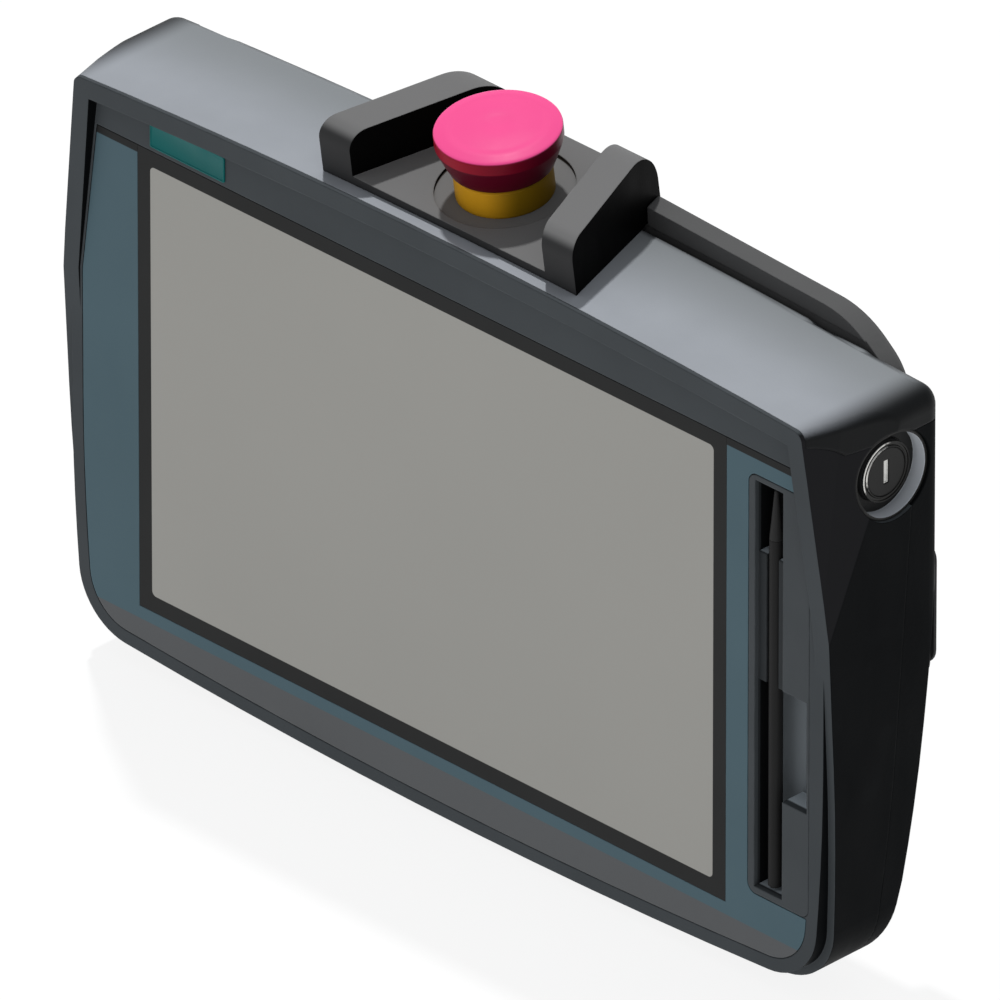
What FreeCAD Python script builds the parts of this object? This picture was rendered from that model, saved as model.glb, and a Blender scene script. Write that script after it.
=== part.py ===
import FreeCAD, Part
import math
import os
import re
import Sketcher

# Handheld operator panel with a touch display, an emergency stop in a guard, a key switch,
# an enabling button on the rear grip and a stylus. The model is drawn with the front foil in
# the plane Y = 0, X to the right and Z up from the display's middle. Every piece is then moved
# by the housing depth and the rear face's level, so that the origin lies in the middle of the
# flat rear face, where a holder carries the panel.

SIZES = {
    # housing outline, seen from the front
    "half_width": 147.6, "deck_height": 92.4, "deck_crown": 2150, "deck_corner": 6, "inner_corner": 13,
    "base_drop": 94.2, "base_crown": 1900, "base_corner": 22,
    "side_arc": 650, "side_arc_level": -15,
    # housing depth, walls and parting
    "depth": 43, "origin_level": 62, "wall": 3, "cover_thickness": 3, "cover_front": -2.6, "cover_skirt": 78,
    "split_inset": 16.1, "split_lean": 4.38, "rear_round": 5,
    "seal_inset": 1.1, "seal_width": 1.0, "seal_thickness": 1.2, "seal_gap": 0.05, "joint_gap": 0.05,
    # leaning front rim, flat plate and side facets
    "rim_level": 12, "rim_lean": 2.9, "rim_width": 6, "plate_inset": 2.6, "plate_thickness": 3,
    "plate_skirt": 8, "facet_foot": 25, "facet_head": 88, "facet_depth": 8.5, "facet_width": 8,
    "facet_step": 4.4, "flank_depth": 29, "flank_foot": 20, "flank_front": -2, "crease_round": 3,
    # rear face below the step
    "step_level": 34, "step_inset": 1.5, "waist_inset": 6, "waist_level": -9,
    "hip_inset": 13, "hip_level": -63, "foot_inset": 16.5, "foot_level": -78,
    "toe_inset": 21, "toe_level": -93,
    # display stack
    "display_width": 216.96, "display_height": 135.6, "display_offset": -5.5,
    "glass_width": 226.8, "glass_height": 145.6, "glass_level": -0.2, "glass_thickness": 2,
    "glass_gap": 0.2, "module_thickness": 5, "module_border": 4, "ledge_border": 1.5,
    "foil_thickness": 0.4, "foil_inset": 7, "foil_gap": 0.25, "foil_tray_gap": 0.3,
    "bracket_thickness": 1.2, "bracket_margin": 3, "board_gap": 3.8, "board_thickness": 1.6,
    "board_half_width": 92, "board_top": 50, "board_bottom": -58, "standoff_radius": 3,
    "standoff_margin": 7, "connector_height": 7,
    # stylus and its tray
    "stylus_inset": 5.2, "stylus_depth": 3, "stylus_radius": 2, "stylus_foot": -62.6,
    "stylus_shoulder": 46.4, "stylus_head": 61.5, "stylus_point": 0.6, "stylus_gap": 0.3,
    "tray_margin": 8.1, "tray_width": 23, "tray_border": 2.3, "tray_top": 65.4, "tray_bottom": -65.7,
    "tray_depth": 10, "tray_gap": 0.15, "tray_corner": 3, "slot_width": 10.65,
    "slot_top": 63.8, "slot_bottom": -63.6, "slot_depth": 8, "clip_bottom": 1, "clip_top": 41,
    "clip_depth": 1.6, "scoop_floor": 1.35, "scoop_lip": 0.7, "scoop_top": 2,
    "scoop_bottom": -32.8,
    # emergency stop, along its own axis from the top of the guard plate
    "estop_depth": 23.2, "estop_level": 97.9, "estop_tilt": 8, "guard_front": -21.9,
    "guard_rear": 27, "guard_half_front": 48.7, "guard_half_rear": 32.3, "wing_width": 11.75,
    "wing_height": 13.7, "wing_front_round": 5.7, "wing_rear_round": 13, "guard_root": 8,
    "dish_radius": 19.5, "dish_depth": 1, "knob_radius": 17.85, "knob_top": 19.7,
    "knob_skirt": 8.2, "knob_wall": 0.6, "knob_band": 4.1, "knob_roof": 13.2, "knob_eye": 3.3,
    "knob_hub": 10, "knob_foot": 2, "knob_seat": 8.2, "press_travel": 4.5,
    "collar_radius": 13.8, "collar_top": 7.9, "hub_gap": 0.3, "shaft_radius": 4, "shaft_top": 8,
    "shaft_foot": -21, "running_gap": 0.05, "barrel_radius": 11, "barrel_top": -4,
    "barrel_foot": -19, "barrel_gap": 0.2, "boss_radius": 15, "boss_foot": -14, "nut_height": 4,
    "block_foot": -40, "block_half": 13, "block_depth": 11, "spring_radius": 6.2, "spring_wire": 0.6,
    # key switch on the right side
    "key_depth": 24.6, "key_level": 66.6, "key_recess": 13.5, "key_gap": 0.1, "cup_wall": 0.9,
    "cup_sink": 5.6, "cup_floor_thickness": 3, "cup_lip": 1, "lock_radius": 9.1,
    "lock_bore": 7.15, "lock_sink": 3.6, "lock_reach": 29.6, "key_slot_length": 7.2,
    "key_slot_width": 1.9, "key_slot_depth": 6, "key_nut_radius": 14.9, "key_block": 12,
    "key_block_length": 15,
    # rear grip with the enabling button
    "grip_height": 7.7, "grip_left": 22, "grip_margin": 8.1, "grip_head": 98.4, "grip_foot": -10,
    "grip_sink": 0.5, "grip_round": 2.5, "button_inset": 21.6, "button_level": 12,
    "button_half_width": 5.5, "button_half_height": 14, "button_round": 4, "button_rise": 11,
    "button_gap": 0.3, "flange_width": 1.2, "flange_rise": 4.2, "flange_thickness": 1.6,
    "pocket_sink": 1, "switch_thickness": 1.6,
    # screws, connection bay and cable inlet
    "screw_radius": 1.5, "screw_head": 3, "screw_head_height": 3, "screw_gap": 0.1, "screw_length": 12,
    "screw_boss": 4, "top_screw_x": 92, "top_screw_level": 78, "low_screw_inset": 19.6,
    "low_screw_level": -71, "low_screw_sink": 18, "bay_half_width": 46, "bay_top": -14,
    "bay_bottom": -61, "bay_sink": 15.5, "bay_ledge": 7, "bay_wall": 3.5, "bay_lid": 2.5,
    "bay_gap": 0.2, "inlet_level": -37.5, "inlet_bore": 3.5, "inlet_radius": 7, "inlet_flange": 9.5,
    "inlet_flange_height": 2, "inlet_length": 14, "inlet_nut": 10, "inlet_nut_height": 3,
}
# Places that follow from the sizes, as formulas.
SPLIT = "depth-split_inset"
TRAY_RIGHT = "half_width-tray_margin"
TRAY_LEFT = TRAY_RIGHT + "-tray_width"
SLOT_LEFT = TRAY_LEFT + "+tray_border"
SLOT_RIGHT = SLOT_LEFT + "+slot_width"
STYLUS_X = SLOT_LEFT + "+stylus_inset"
CUP_FLOOR = "half_width-cup_sink"
CUP_BACK = CUP_FLOOR + "-cup_floor_thickness"
LOCK_FACE = "half_width-lock_sink"
LOCK_FOOT = "half_width-lock_reach"
GRIP_REAR = "depth+grip_height"
BUTTON_X = "half_width-button_inset"
FLANGE_FOOT = "depth+flange_rise"
FLANGE_TOP = FLANGE_FOOT + "+flange_thickness"
POCKET_FLOOR = "depth-pocket_sink"
BAY_FLOOR = "depth-bay_sink"
REACH = 400.0
NODES = []

doc = FreeCAD.newDocument("operator_panel")
sheet = doc.addObject("Spreadsheet::Sheet", "Sizes")
for row, (alias, value) in enumerate(SIZES.items(), start=1):
    sheet.set("A%d" % row, alias)
    sheet.set("B%d" % row, str(value))
    sheet.setAlias("B%d" % row, alias)
doc.recompute()

V = FreeCAD.Vector
X_AXIS, Y_AXIS, Z_AXIS = V(1, 0, 0), V(0, 1, 0), V(0, 0, 1)
ALONG = {
    "X": FreeCAD.Rotation(Y_AXIS, 90),
    "Y": FreeCAD.Rotation(X_AXIS, -90),
    "Z": FreeCAD.Rotation(),
}
FRONT_VIEW = FreeCAD.Rotation(X_AXIS, 90)
SIDE_VIEW = FreeCAD.Rotation(V(1, 1, 1), 120)


def size(alias):
    """A driving dimension, as the sheet holds it."""
    return float(sheet.get(alias))


def formula(text):
    """Turn bare size names into references to the sheet."""
    return re.sub(r"\b([a-z][a-z_]+)\b", r"Sizes.\1", str(text))


def number(text):
    return float(sheet.evalExpression(formula(text)))


def bind(obj, **values):
    """Tie properties to formulas; a double underscore stands for a dot in the property path."""
    for path, text in values.items():
        obj.setExpression(path.replace("__", "."), formula(text))
    return obj


def box(name, x, y, z):
    """A block between pairs of formulas along each axis."""
    block = doc.addObject("Part::Box", name)
    bind(block, Length="(%s)-(%s)" % (x[1], x[0]), Width="(%s)-(%s)" % (y[1], y[0]),
         Height="(%s)-(%s)" % (z[1], z[0]))
    return bind(block, Placement__Base__x=x[0], Placement__Base__y=y[0], Placement__Base__z=z[0])


def rod(name, axis, radius, start, end, u="0", v="0"):
    """A cylinder along X, Y or Z; u and v are its place on the other two axes, in order."""
    cylinder = doc.addObject("Part::Cylinder", name)
    bind(cylinder, Radius=radius, Height="(%s)-(%s)" % (end, start))
    cylinder.Placement = FreeCAD.Placement(V(0, 0, 0), ALONG[axis])
    places = {"X": (start, u, v), "Y": (u, start, v), "Z": (u, v, start)}[axis]
    return bind(cylinder, Placement__Base__x=places[0], Placement__Base__y=places[1],
                Placement__Base__z=places[2])


def cut(name, base, *tools):
    """Take each tool from the base, one after the other."""
    for tool in tools:
        result = doc.addObject("Part::Cut", name)
        result.Base, result.Tool = base, tool
        base = result
    return base


def common(name, *shapes):
    base = shapes[0]
    for shape in shapes[1:]:
        result = doc.addObject("Part::Common", name)
        result.Base, result.Tool = base, shape
        base = result
    return base


def fuse(name, *shapes):
    result = doc.addObject("Part::MultiFuse", name)
    result.Shapes = list(shapes)
    return result


def extrude(name, edges, rotation, direction, start, length):
    """Extrude a closed profile, drawn in its own plane, along an axis from a starting place."""
    sketch = doc.addObject("Sketcher::SketchObject", name + "_profile")
    for edge in edges:
        sketch.addGeometry(edge)
    sketch.Placement = FreeCAD.Placement(V(0, 0, 0), rotation)
    solid = doc.addObject("Part::Extrusion", name)
    solid.Base = sketch
    solid.DirMode = "Custom"
    solid.Dir = direction
    solid.Solid = True
    bind(solid, LengthFwd=length)
    axis = "xyz"[[direction.x, direction.y, direction.z].index(1.0)]
    return bind(solid, **{"Placement__Base__" + axis: start})


def polygon(points):
    """Straight edges through the points and back to the first."""
    corners = [V(x, y, 0) for x, y in points]
    return [Part.LineSegment(a, b) for a, b in zip(corners, corners[1:] + corners[:1])]


def arc(start, middle, end):
    return Part.Arc(V(start[0], start[1], 0), V(middle[0], middle[1], 0), V(end[0], end[1], 0))


def rounded_polygon(corners):
    """Edges of a polygon whose corners, given as x, y and radius, are rounded by tangent arcs."""
    starts, arcs, ends = [], [], []
    for i, (x, y, radius) in enumerate(corners):
        here = V(x, y, 0)
        back = (V(*corners[i - 1][:2], 0) - here).normalize()
        ahead = (V(*corners[(i + 1) % len(corners)][:2], 0) - here).normalize()
        half_angle = back.getAngle(ahead) / 2
        centre = here + (back + ahead).normalize() * (radius / math.sin(half_angle))
        tangent = radius / math.tan(half_angle)
        starts.append(here + back * tangent)
        ends.append(here + ahead * tangent)
        arcs.append(Part.Arc(starts[-1], centre + (here - centre).normalize() * radius, ends[-1]))
    lines = [Part.LineSegment(end, start) for end, start in zip(ends, starts[1:] + starts[:1])]
    return [edge for pair in zip(arcs, lines) for edge in pair]


def rounded_rectangle(x0, x1, y0, y1, radius):
    return rounded_polygon([(x0, y0, radius), (x1, y0, radius), (x1, y1, radius), (x0, y1, radius)])


def body(label):
    part = doc.addObject("PartDesign::Body", label)
    part.Label = label
    return part


def profile(part, role, points, name="profile"):
    """A closed sketch of straight edges in one of the body's planes, tied to the sheet."""
    sketch = part.newObject("Sketcher::SketchObject", name)
    plane = [item for item in part.Origin.OriginFeatures if item.Role == role][0]
    sketch.AttachmentSupport = (plane, "")
    sketch.MapMode = "FlatFace"
    places = [(number(a), number(b)) for a, b in points]
    for edge in polygon(places):
        sketch.addGeometry(edge)
    count = len(points)
    for i in range(count):
        sketch.addConstraint(Sketcher.Constraint("Coincident", i, 2, (i + 1) % count, 1))
    for i, (a, b) in enumerate(points):
        for kind, text, place in (("DistanceX", a, places[i][0]), ("DistanceY", b, places[i][1])):
            index = sketch.addConstraint(Sketcher.Constraint(kind, -1, 1, i, 1, place))
            sketch.setExpression("Constraints[%d]" % index, formula(text))
    return sketch


def turned(label, points):
    """A body of revolution about its own Z axis, from points of radius and height."""
    part = body(label)
    sketch = profile(part, "XZ_Plane", points)
    spin = part.newObject("PartDesign::Revolution", "turn")
    spin.Profile = sketch
    spin.ReferenceAxis = (sketch, ["V_Axis"])
    spin.Angle = 360
    return part


def node(label, shape, placement=None):
    """Register a finished piece under its own name and carry it into the frame of the rear face."""
    if shape.TypeId == "PartDesign::Body":
        piece = shape
        piece.Placement = placement or FreeCAD.Placement()
        base = piece.Placement.Base
        bind(piece, Placement__Base__y="%.6f - depth" % base.y)
        bind(piece, Placement__Base__z="%.6f - origin_level" % base.z)
    else:
        piece = doc.addObject("Part::Compound", label)
        piece.Links = [shape]
        bind(piece, Placement__Base__y="-depth", Placement__Base__z="-origin_level")
    piece.Label = label
    NODES.append(piece)
    return piece


def circles_meet(first, first_radius, second, second_radius):
    """The lower of the two points that two circles share."""
    gap = second - first
    along = (gap.Length ** 2 + first_radius ** 2 - second_radius ** 2) / (2 * gap.Length)
    across = math.sqrt(first_radius ** 2 - along ** 2)
    unit = V(gap).normalize()
    normal = V(-unit.y, unit.x, 0)
    return min((first + unit * along + normal * side * across for side in (-1, 1)), key=lambda p: p.y)


def from_centre(centre, towards, radius):
    return centre + (towards - centre).normalize() * radius


def flipped(point):
    """The same point on the other side of the middle plane."""
    return V(-point.x, point.y, point.z)


def arc_about(centre, start, end):
    """The shorter arc about a centre between two points at one radius."""
    middle = from_centre(centre, (start + end) * 0.5, (start - centre).Length)
    return Part.Arc(start, middle, end)


def outline(inset, deck_drop=0.0):
    """The housing's outline from the front: crowned deck and base, upright upper sides and
    sides that draw in towards the base, all moved inward by the inset."""
    half = size("half_width") - inset
    crown = size("deck_crown") - inset
    deck = V(0, size("deck_height") - size("deck_crown") - deck_drop, 0)
    corner_size = size("inner_corner") if inset > 0 else size("deck_corner")
    corner_radius = max(corner_size - inset, 1.0)
    reach = crown - corner_radius
    corner = V(half - corner_radius, 0, 0)
    corner.y = deck.y + math.sqrt(reach ** 2 - corner.x ** 2)
    level = size("side_arc_level")
    side = V(size("half_width") - size("side_arc"), level, 0)
    side_radius = size("side_arc") - inset
    base = V(0, size("base_crown") - size("base_drop"), 0)
    base_radius = size("base_crown") - inset
    foot_radius = max(size("base_corner") - inset, 1.0)
    foot = circles_meet(side, side_radius - foot_radius, base, base_radius - foot_radius)
    deck_end = from_centre(deck, corner, crown)
    shoulder = V(half, corner.y, 0)
    waist = V(half, level, 0)
    hip = from_centre(side, foot, side_radius)
    toe = from_centre(base, foot, base_radius)
    edges = [Part.Arc(flipped(deck_end), V(0, deck.y + crown, 0), deck_end),
             Part.Arc(flipped(toe), V(0, base.y - base_radius, 0), toe)]
    for turn in (V, flipped):
        edges += [arc_about(turn(corner), turn(deck_end), turn(shoulder)),
                  Part.LineSegment(turn(shoulder), turn(waist)),
                  arc_about(turn(side), turn(waist), turn(hip)),
                  arc_about(turn(foot), turn(hip), turn(toe))]
    return edges


def prism(name, inset, start, end, deck_drop="0"):
    """The outline, moved inward, between two depths."""
    return extrude(name, outline(number(inset), number(deck_drop)), FRONT_VIEW, Y_AXIS, start,
                   "(%s)-(%s)" % (end, start))


def half_space(name, pivot, rotation):
    """A large block that fills the side of a plane towards which its own Z points."""
    block = doc.addObject("Part::Box", name)
    block.Length = block.Width = 2 * REACH
    block.Height = REACH
    block.Placement = FreeCAD.Placement(pivot, rotation).multiply(
        FreeCAD.Placement(V(-REACH, -REACH, 0), FreeCAD.Rotation()))
    return block


def leaning(name, depth, level, lean, side):
    """The space before (-1) or behind (+1) a plane that leans forward at its top."""
    normal = V(0, math.cos(math.radians(lean)), math.sin(math.radians(lean))) * side
    return half_space(name, V(0, depth, level), FreeCAD.Rotation(Z_AXIS, normal))


def rim_front(level):
    return (size("rim_level") - level) * math.tan(math.radians(size("rim_lean")))


def outside_plane(name, side, corners, inset):
    """The space outside a plane through three corners on one side, moved inward by the inset."""
    normal = (corners[1] - corners[0]).cross(corners[2] - corners[0]).normalize()
    if normal.x * side < 0:
        normal = normal * -1
    return half_space(name, corners[0] - normal * inset, FreeCAD.Rotation(Z_AXIS, normal))


def outside_facets(inset):
    """The space outside the side facets, which narrow the rim towards the deck, and outside the
    flanks, which run on from the facets to the full width."""
    half, head, foot = size("half_width"), size("facet_head"), size("facet_foot")
    spaces = []
    for side in (-1, 1):
        back = V(side * (half - size("facet_step")), size("facet_depth"), head)
        low = V(side * half, rim_front(foot), foot)
        front = V(side * (half - size("facet_width")), rim_front(head), head)
        rear = V(side * half, size("flank_depth"), head)
        flank_low = V(side * half, size("flank_front"), size("flank_foot"))
        spaces.append(outside_plane("facet", side, (back, low, front), inset))
        spaces.append(outside_plane("flank", side, (back, rear, flank_low), inset))
    return spaces


def facet_edge(name, side, inset):
    """The space outside a line that runs along a facet's front edge, at an inset from it."""
    low = V(side * (size("half_width") - inset), 0, size("facet_foot"))
    high = V(side * (size("half_width") - size("facet_width") - inset), 0, size("facet_head"))
    normal = Y_AXIS.cross(high - low) * side
    return half_space(name, low, FreeCAD.Rotation(Z_AXIS, normal))


def inside_facets(name, shape, inset):
    sides = [facet_edge(name + "_edge", side, number(inset)) for side in (-1, 1)]
    return cut(name, shape, *sides)


def rear_cut(name, inset):
    """Everything behind the rear face below its step, moved forward by the inset."""
    points = {key: (size("depth") - size(key + "_inset") - inset, size(key + "_level"))
              for key in ("waist", "hip", "foot", "toe")}
    step = (size("depth") - size("step_inset") - inset, size("step_level") + inset)
    far = size("depth") + REACH / 4
    drop = -REACH / 2
    toe = points["toe"]
    edges = [arc(step, points["waist"], points["hip"]), arc(points["hip"], points["foot"], toe)]
    edges += polygon([toe, (toe[0], drop), (far, drop), (far, step[1]), step])[:4]
    return extrude(name, edges, SIDE_VIEW, X_AXIS, str(-REACH / 2), str(REACH))


# Housing blank: the outline's prism, cut by the leaning front, the facets and the rear face.
lean_front = leaning("lean_front", 0, size("rim_level"), size("rim_lean"), -1)
raw_blank = cut("raw_blank", prism("full_prism", "0", "-12", "depth"), lean_front, *outside_facets(0.0))
raw_blank = cut("raw_blank", raw_blank, rear_cut("rear_cut", 0.0))
doc.recompute()


def on_rear_rim(edge):
    """True for the edges round the upper rear face, but not for the one along its step."""
    points = [edge.valueAt(edge.FirstParameter + share * (edge.LastParameter - edge.FirstParameter))
              for share in (0.0, 0.5, 1.0)]
    flat = all(abs(point.y - size("depth")) < 1e-4 for point in points)
    return flat and points[1].z > size("step_level") + 0.01


def on_crease(edge):
    """True for the edges where the deck meets a side facet or flank."""
    if edge.BoundBox.ZMin < size("cover_skirt") or edge.BoundBox.YMax > number(SPLIT) + 9:
        return False
    surfaces = [face.Surface for face in raw_blank.Shape.ancestorsOfType(edge, Part.Face)]
    flat = [surface for surface in surfaces if isinstance(surface, Part.Plane) and abs(surface.Axis.x) > 0.3]
    round_ones = [surface for surface in surfaces if isinstance(surface, Part.Cylinder)]
    return len(flat) == 1 and len(round_ones) == 1


blank = doc.addObject("Part::Fillet", "blank")
blank.Base = raw_blank
blank_edges = []
for index, edge in enumerate(raw_blank.Shape.Edges, start=1):
    if on_rear_rim(edge):
        blank_edges.append((index, size("rear_round"), size("rear_round")))
    elif on_crease(edge):
        blank_edges.append((index, size("crease_round"), size("crease_round")))
blank.Edges = blank_edges

# Emergency stop axis, tilted forward about the middle of its collar.
estop_axis = FreeCAD.Placement(V(0, size("estop_depth"), size("estop_level")),
                               FreeCAD.Rotation(X_AXIS, size("estop_tilt")))


def estop_rod(name, radius, start, end):
    cylinder = doc.addObject("Part::Cylinder", name)
    bind(cylinder, Radius=radius, Height="(%s)-(%s)" % (end, start))
    cylinder.Placement = estop_axis.multiply(FreeCAD.Placement(V(0, 0, number(start)), FreeCAD.Rotation()))
    return cylinder


# Top cover: a skin over the deck and its round ends.


def cover_zone(name, gap):
    """The space of the top cover, grown by a gap towards the shells under it."""
    block = box(name + "_block", ("-half_width-5", "half_width+5"), ("cover_front-%s" % gap, "depth+20"),
                ("cover_skirt-%s" % gap, "deck_height+20"))
    return cut(name, block, prism(name + "_inside", "cover_thickness+%s" % gap, "-20", "depth+30"))


barrel_hole = estop_rod("barrel_hole", "barrel_radius+barrel_gap", "-60", "30")
key_hole = rod("key_hole", "X", "key_recess", CUP_FLOOR + "-10", "half_width+10", "key_depth", "key_level")
grip_bed = box("grip_bed", ("grip_left-hub_gap", "half_width+5"), ("depth-grip_sink", "depth+5"),
               ("step_level", "deck_height+5"))
cover_skin = common("cover_skin", blank, cover_zone("cover_space", "0"))
node("top_cover", cut("top_cover_solid", cover_skin, barrel_hole, key_hole, grip_bed))
shell_blank = cut("shell_blank", blank, cover_zone("cover_room", "joint_gap"), grip_bed)

# Inner space, parting plane and the seal that lies in it.
cavity_front = prism("cavity_front", "plate_inset+wall", "plate_thickness", "plate_skirt", "cover_thickness")
cavity_back = prism("cavity_back", "wall", "plate_skirt", "depth-wall", "cover_thickness")
cavity_rear = cut("cavity_rear", cavity_back, rear_cut("rear_inside", size("wall")))
cavity = cut("cavity", fuse("cavity_halves", cavity_front, cavity_rear), *outside_facets(size("wall")))


def beyond_split(name, side, shift=0.0):
    return leaning(name, number(SPLIT) + shift, 0, -size("split_lean"), side)


boss_room = estop_rod("boss_room", "boss_radius+hub_gap", "boss_foot-hub_gap", "0")
key_room = rod("key_room", "X", "key_nut_radius+hub_gap", LOCK_FOOT, "half_width+10", "key_depth",
               "key_level")


def seal_band(name, gap):
    """A narrow ring along the parting plane, drawn in by a gap, open at the two switches."""
    half = size("seal_thickness") / 2 - number(gap)
    drop = "cover_thickness+0.5"
    ring = cut(name + "_ring", prism(name + "_outer", "seal_inset+%s" % gap, "0", "depth", drop),
               prism(name + "_inner", "seal_inset+seal_width-%s" % gap, "-1", "depth+1", drop))
    band = common(name + "_band", ring, beyond_split(name + "_front", 1, -half),
                  beyond_split(name + "_back", -1, half))
    return cut(name, band, boss_room, key_room)


seal_groove = seal_band("seal_groove", "0")
node("housing_seal", seal_band("seal", "seal_gap"))

# Screws that hold the two shells, with a boss round each.
SCREWS = [("%stop_screw_x" % sign, "top_screw_level", "depth-screw_head_height") for sign in ("-", "")]
SCREWS += [("%s(half_width-low_screw_inset)" % sign, "low_screw_level", "depth-low_screw_sink")
           for sign in ("-", "")]
bosses, screw_holes, screws = [], [], []
for x, z, seat in SCREWS:
    bosses.append(rod("screw_boss", "Y", "screw_boss", "plate_thickness-0.5", "depth", x, z))
    screw_holes.append(rod("screw_hole", "Y", "screw_radius+screw_gap", "%s-screw_length-0.5" % seat,
                           "depth", x, z))
    screw_holes.append(rod("head_hole", "Y", "screw_head+screw_gap", seat, "depth+5", x, z))
    screws.append(rod("screw_shank", "Y", "screw_radius", "%s-screw_length" % seat, seat, x, z))
    screws.append(rod("screw_head", "Y", "screw_head", seat, "%s+screw_head_height-0.4" % seat, x, z))
node("housing_screws", fuse("screw_set", *screws))

# Front shell: leaning rim, flat plate that is sunk at the top and proud below, and side walls.
glass_x = ("display_offset-glass_width/2", "display_offset+glass_width/2")
glass_z = ("glass_level-glass_height/2", "glass_level+glass_height/2")


def widened(span, margin):
    return ("%s-(%s)" % (span[0], margin), "%s+(%s)" % (span[1], margin))


def tray_outline(margin):
    left, right = number(TRAY_LEFT) - margin, number(TRAY_RIGHT) + margin
    return rounded_rectangle(left, right, size("tray_bottom") - margin, size("tray_top") + margin,
                             size("tray_corner") + margin)


def foil_plan(name, margin, start, end):
    """The foil's outline: within the rim and up to the glass's top edge, with a notch for the
    stylus tray that is open to the right."""
    field = box(name + "_field", ("-half_width", "half_width"), ("-1", "20"),
                ("-base_drop", "%s+%s" % (glass_z[1], margin)))
    whole = prism(name + "_whole", "foil_inset-%s" % margin, start, end)
    gap = "(foil_tray_gap-%s)" % margin
    notch = extrude(name + "_notch", tray_outline(number(gap)), FRONT_VIEW, Y_AXIS, "-2", "24")
    mouth = box(name + "_mouth", (TRAY_RIGHT + "-tray_corner-1", "half_width"), ("-2", "22"),
                ("tray_bottom-" + gap, "tray_top+" + gap))
    notched = cut(name + "_notched", common(name + "_trim", whole, field), notch, mouth)
    return inside_facets(name, notched, "foil_inset-%s" % margin)


tray_opening = extrude("tray_opening", tray_outline(size("tray_gap")), FRONT_VIEW, Y_AXIS, "0",
                       "tray_depth+1")
glass_pocket = box("glass_pocket", widened(glass_x, "glass_gap"), ("-1", "glass_thickness"),
                   widened(glass_z, "glass_gap"))
view_x = ("display_offset-display_width/2-ledge_border", "display_offset+display_width/2+ledge_border")
view_window = box("view_window", view_x, ("-1", "plate_skirt"),
                  ("-display_height/2-ledge_border", "display_height/2+ledge_border"))
rim_recess = inside_facets("rim_recess", prism("recess_prism", "rim_width", "-30", "0"), "rim_width")
proud_plate = common("proud_plate", prism("plate_prism", "plate_inset", "0", "plate_skirt"),
                     box("plate_field", ("-half_width", "half_width"), ("-1", "20"),
                         ("-base_drop", "rim_level")))
boss_field = fuse("boss_field", shell_blank, proud_plate)
all_bosses = common("bosses_in_shell", fuse("boss_set", *bosses), boss_field)
estop_boss = common("estop_boss", estop_rod("boss_rod", "boss_radius", "boss_foot", "0"), shell_blank)
nut_room = rod("nut_room", "X", "key_nut_radius+hub_gap", LOCK_FOOT, CUP_FLOOR, "key_depth", "key_level")
key_boss = common("key_boss", rod("key_boss_rod", "X", "key_nut_radius+hub_gap", CUP_FLOOR, "half_width",
                                  "key_depth", "key_level"), shell_blank)
front_half = common("front_half", shell_blank, beyond_split("before_split", -1))
front_skin = fuse("front_skin", front_half, proud_plate)
front_wall = cut("front_wall", front_skin, rim_recess, cavity, view_window, glass_pocket,
                 foil_plan("foil_pocket", "foil_gap", "-1", "foil_thickness"), tray_opening)
front_bosses = common("front_bosses", all_bosses, beyond_split("boss_split", -1))
front_key_boss = common("front_key_boss", key_boss, beyond_split("key_split", -1))
front_with_bosses = fuse("front_with_bosses", front_wall, front_bosses, estop_boss, front_key_boss)
front_shell = cut("front_shell_solid", front_with_bosses,
                  fuse("screw_cuts", *screw_holes), barrel_hole, key_hole, nut_room, seal_groove)
node("front_shell", front_shell)

# Display stack: foil, touch glass, display module, carrier plate and main board.
glass_block = box("glass_block", widened(glass_x, "0.1"), ("-1", "1"), widened(glass_z, "0.1"))
node("front_foil", cut("foil_solid", foil_plan("foil", "0", "0", "foil_thickness"), glass_block))
node("touch_glass", box("glass", glass_x, ("0", "glass_thickness"), glass_z))
module_x = ("display_offset-display_width/2-module_border", "display_offset+display_width/2+module_border")
module_z = ("-display_height/2-module_border", "display_height/2+module_border")
module_y = ("plate_thickness", "plate_thickness+module_thickness")
node("display_module", box("module", module_x, module_y, module_z))
bracket_y = (module_y[1], module_y[1] + "+bracket_thickness")
bracket_plate = box("bracket_plate", widened(module_x, "-bracket_margin"), bracket_y,
                    widened(module_z, "-bracket_margin"))
bracket_slots = [box("bracket_slot", ("%s-26" % x, "%s+26" % x), (bracket_y[0] + "-1", bracket_y[1] + "+1"),
                     ("-20", "30")) for x in ("-50", "40")]
node("display_bracket", cut("bracket", bracket_plate, *bracket_slots))
board_x, board_z = ("-board_half_width", "board_half_width"), ("board_bottom", "board_top")
board_y = (bracket_y[1] + "+board_gap", bracket_y[1] + "+board_gap+board_thickness")
node("main_board", box("board", board_x, board_y, board_z))
standoffs = [rod("standoff", "Y", "standoff_radius", bracket_y[1], board_y[0], x, z)
             for x in widened(board_x, "-standoff_margin") for z in widened(board_z, "-standoff_margin")]
node("board_standoffs", fuse("standoff_set", *standoffs))
connector_y = (board_y[1], board_y[1] + "+connector_height")
connectors = [box("connector", ("%s-12" % x, "%s+12" % x), connector_y, ("-52", "-42"))
              for x in ("-30", "30")]
chips = [box("chip", ("%s-8" % x, "%s+8" % x), (board_y[1], board_y[1] + "+2"), ("0", "16"))
         for x in ("-50", "0", "50")]
node("board_components", fuse("component_set", *(connectors + chips)))

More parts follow.
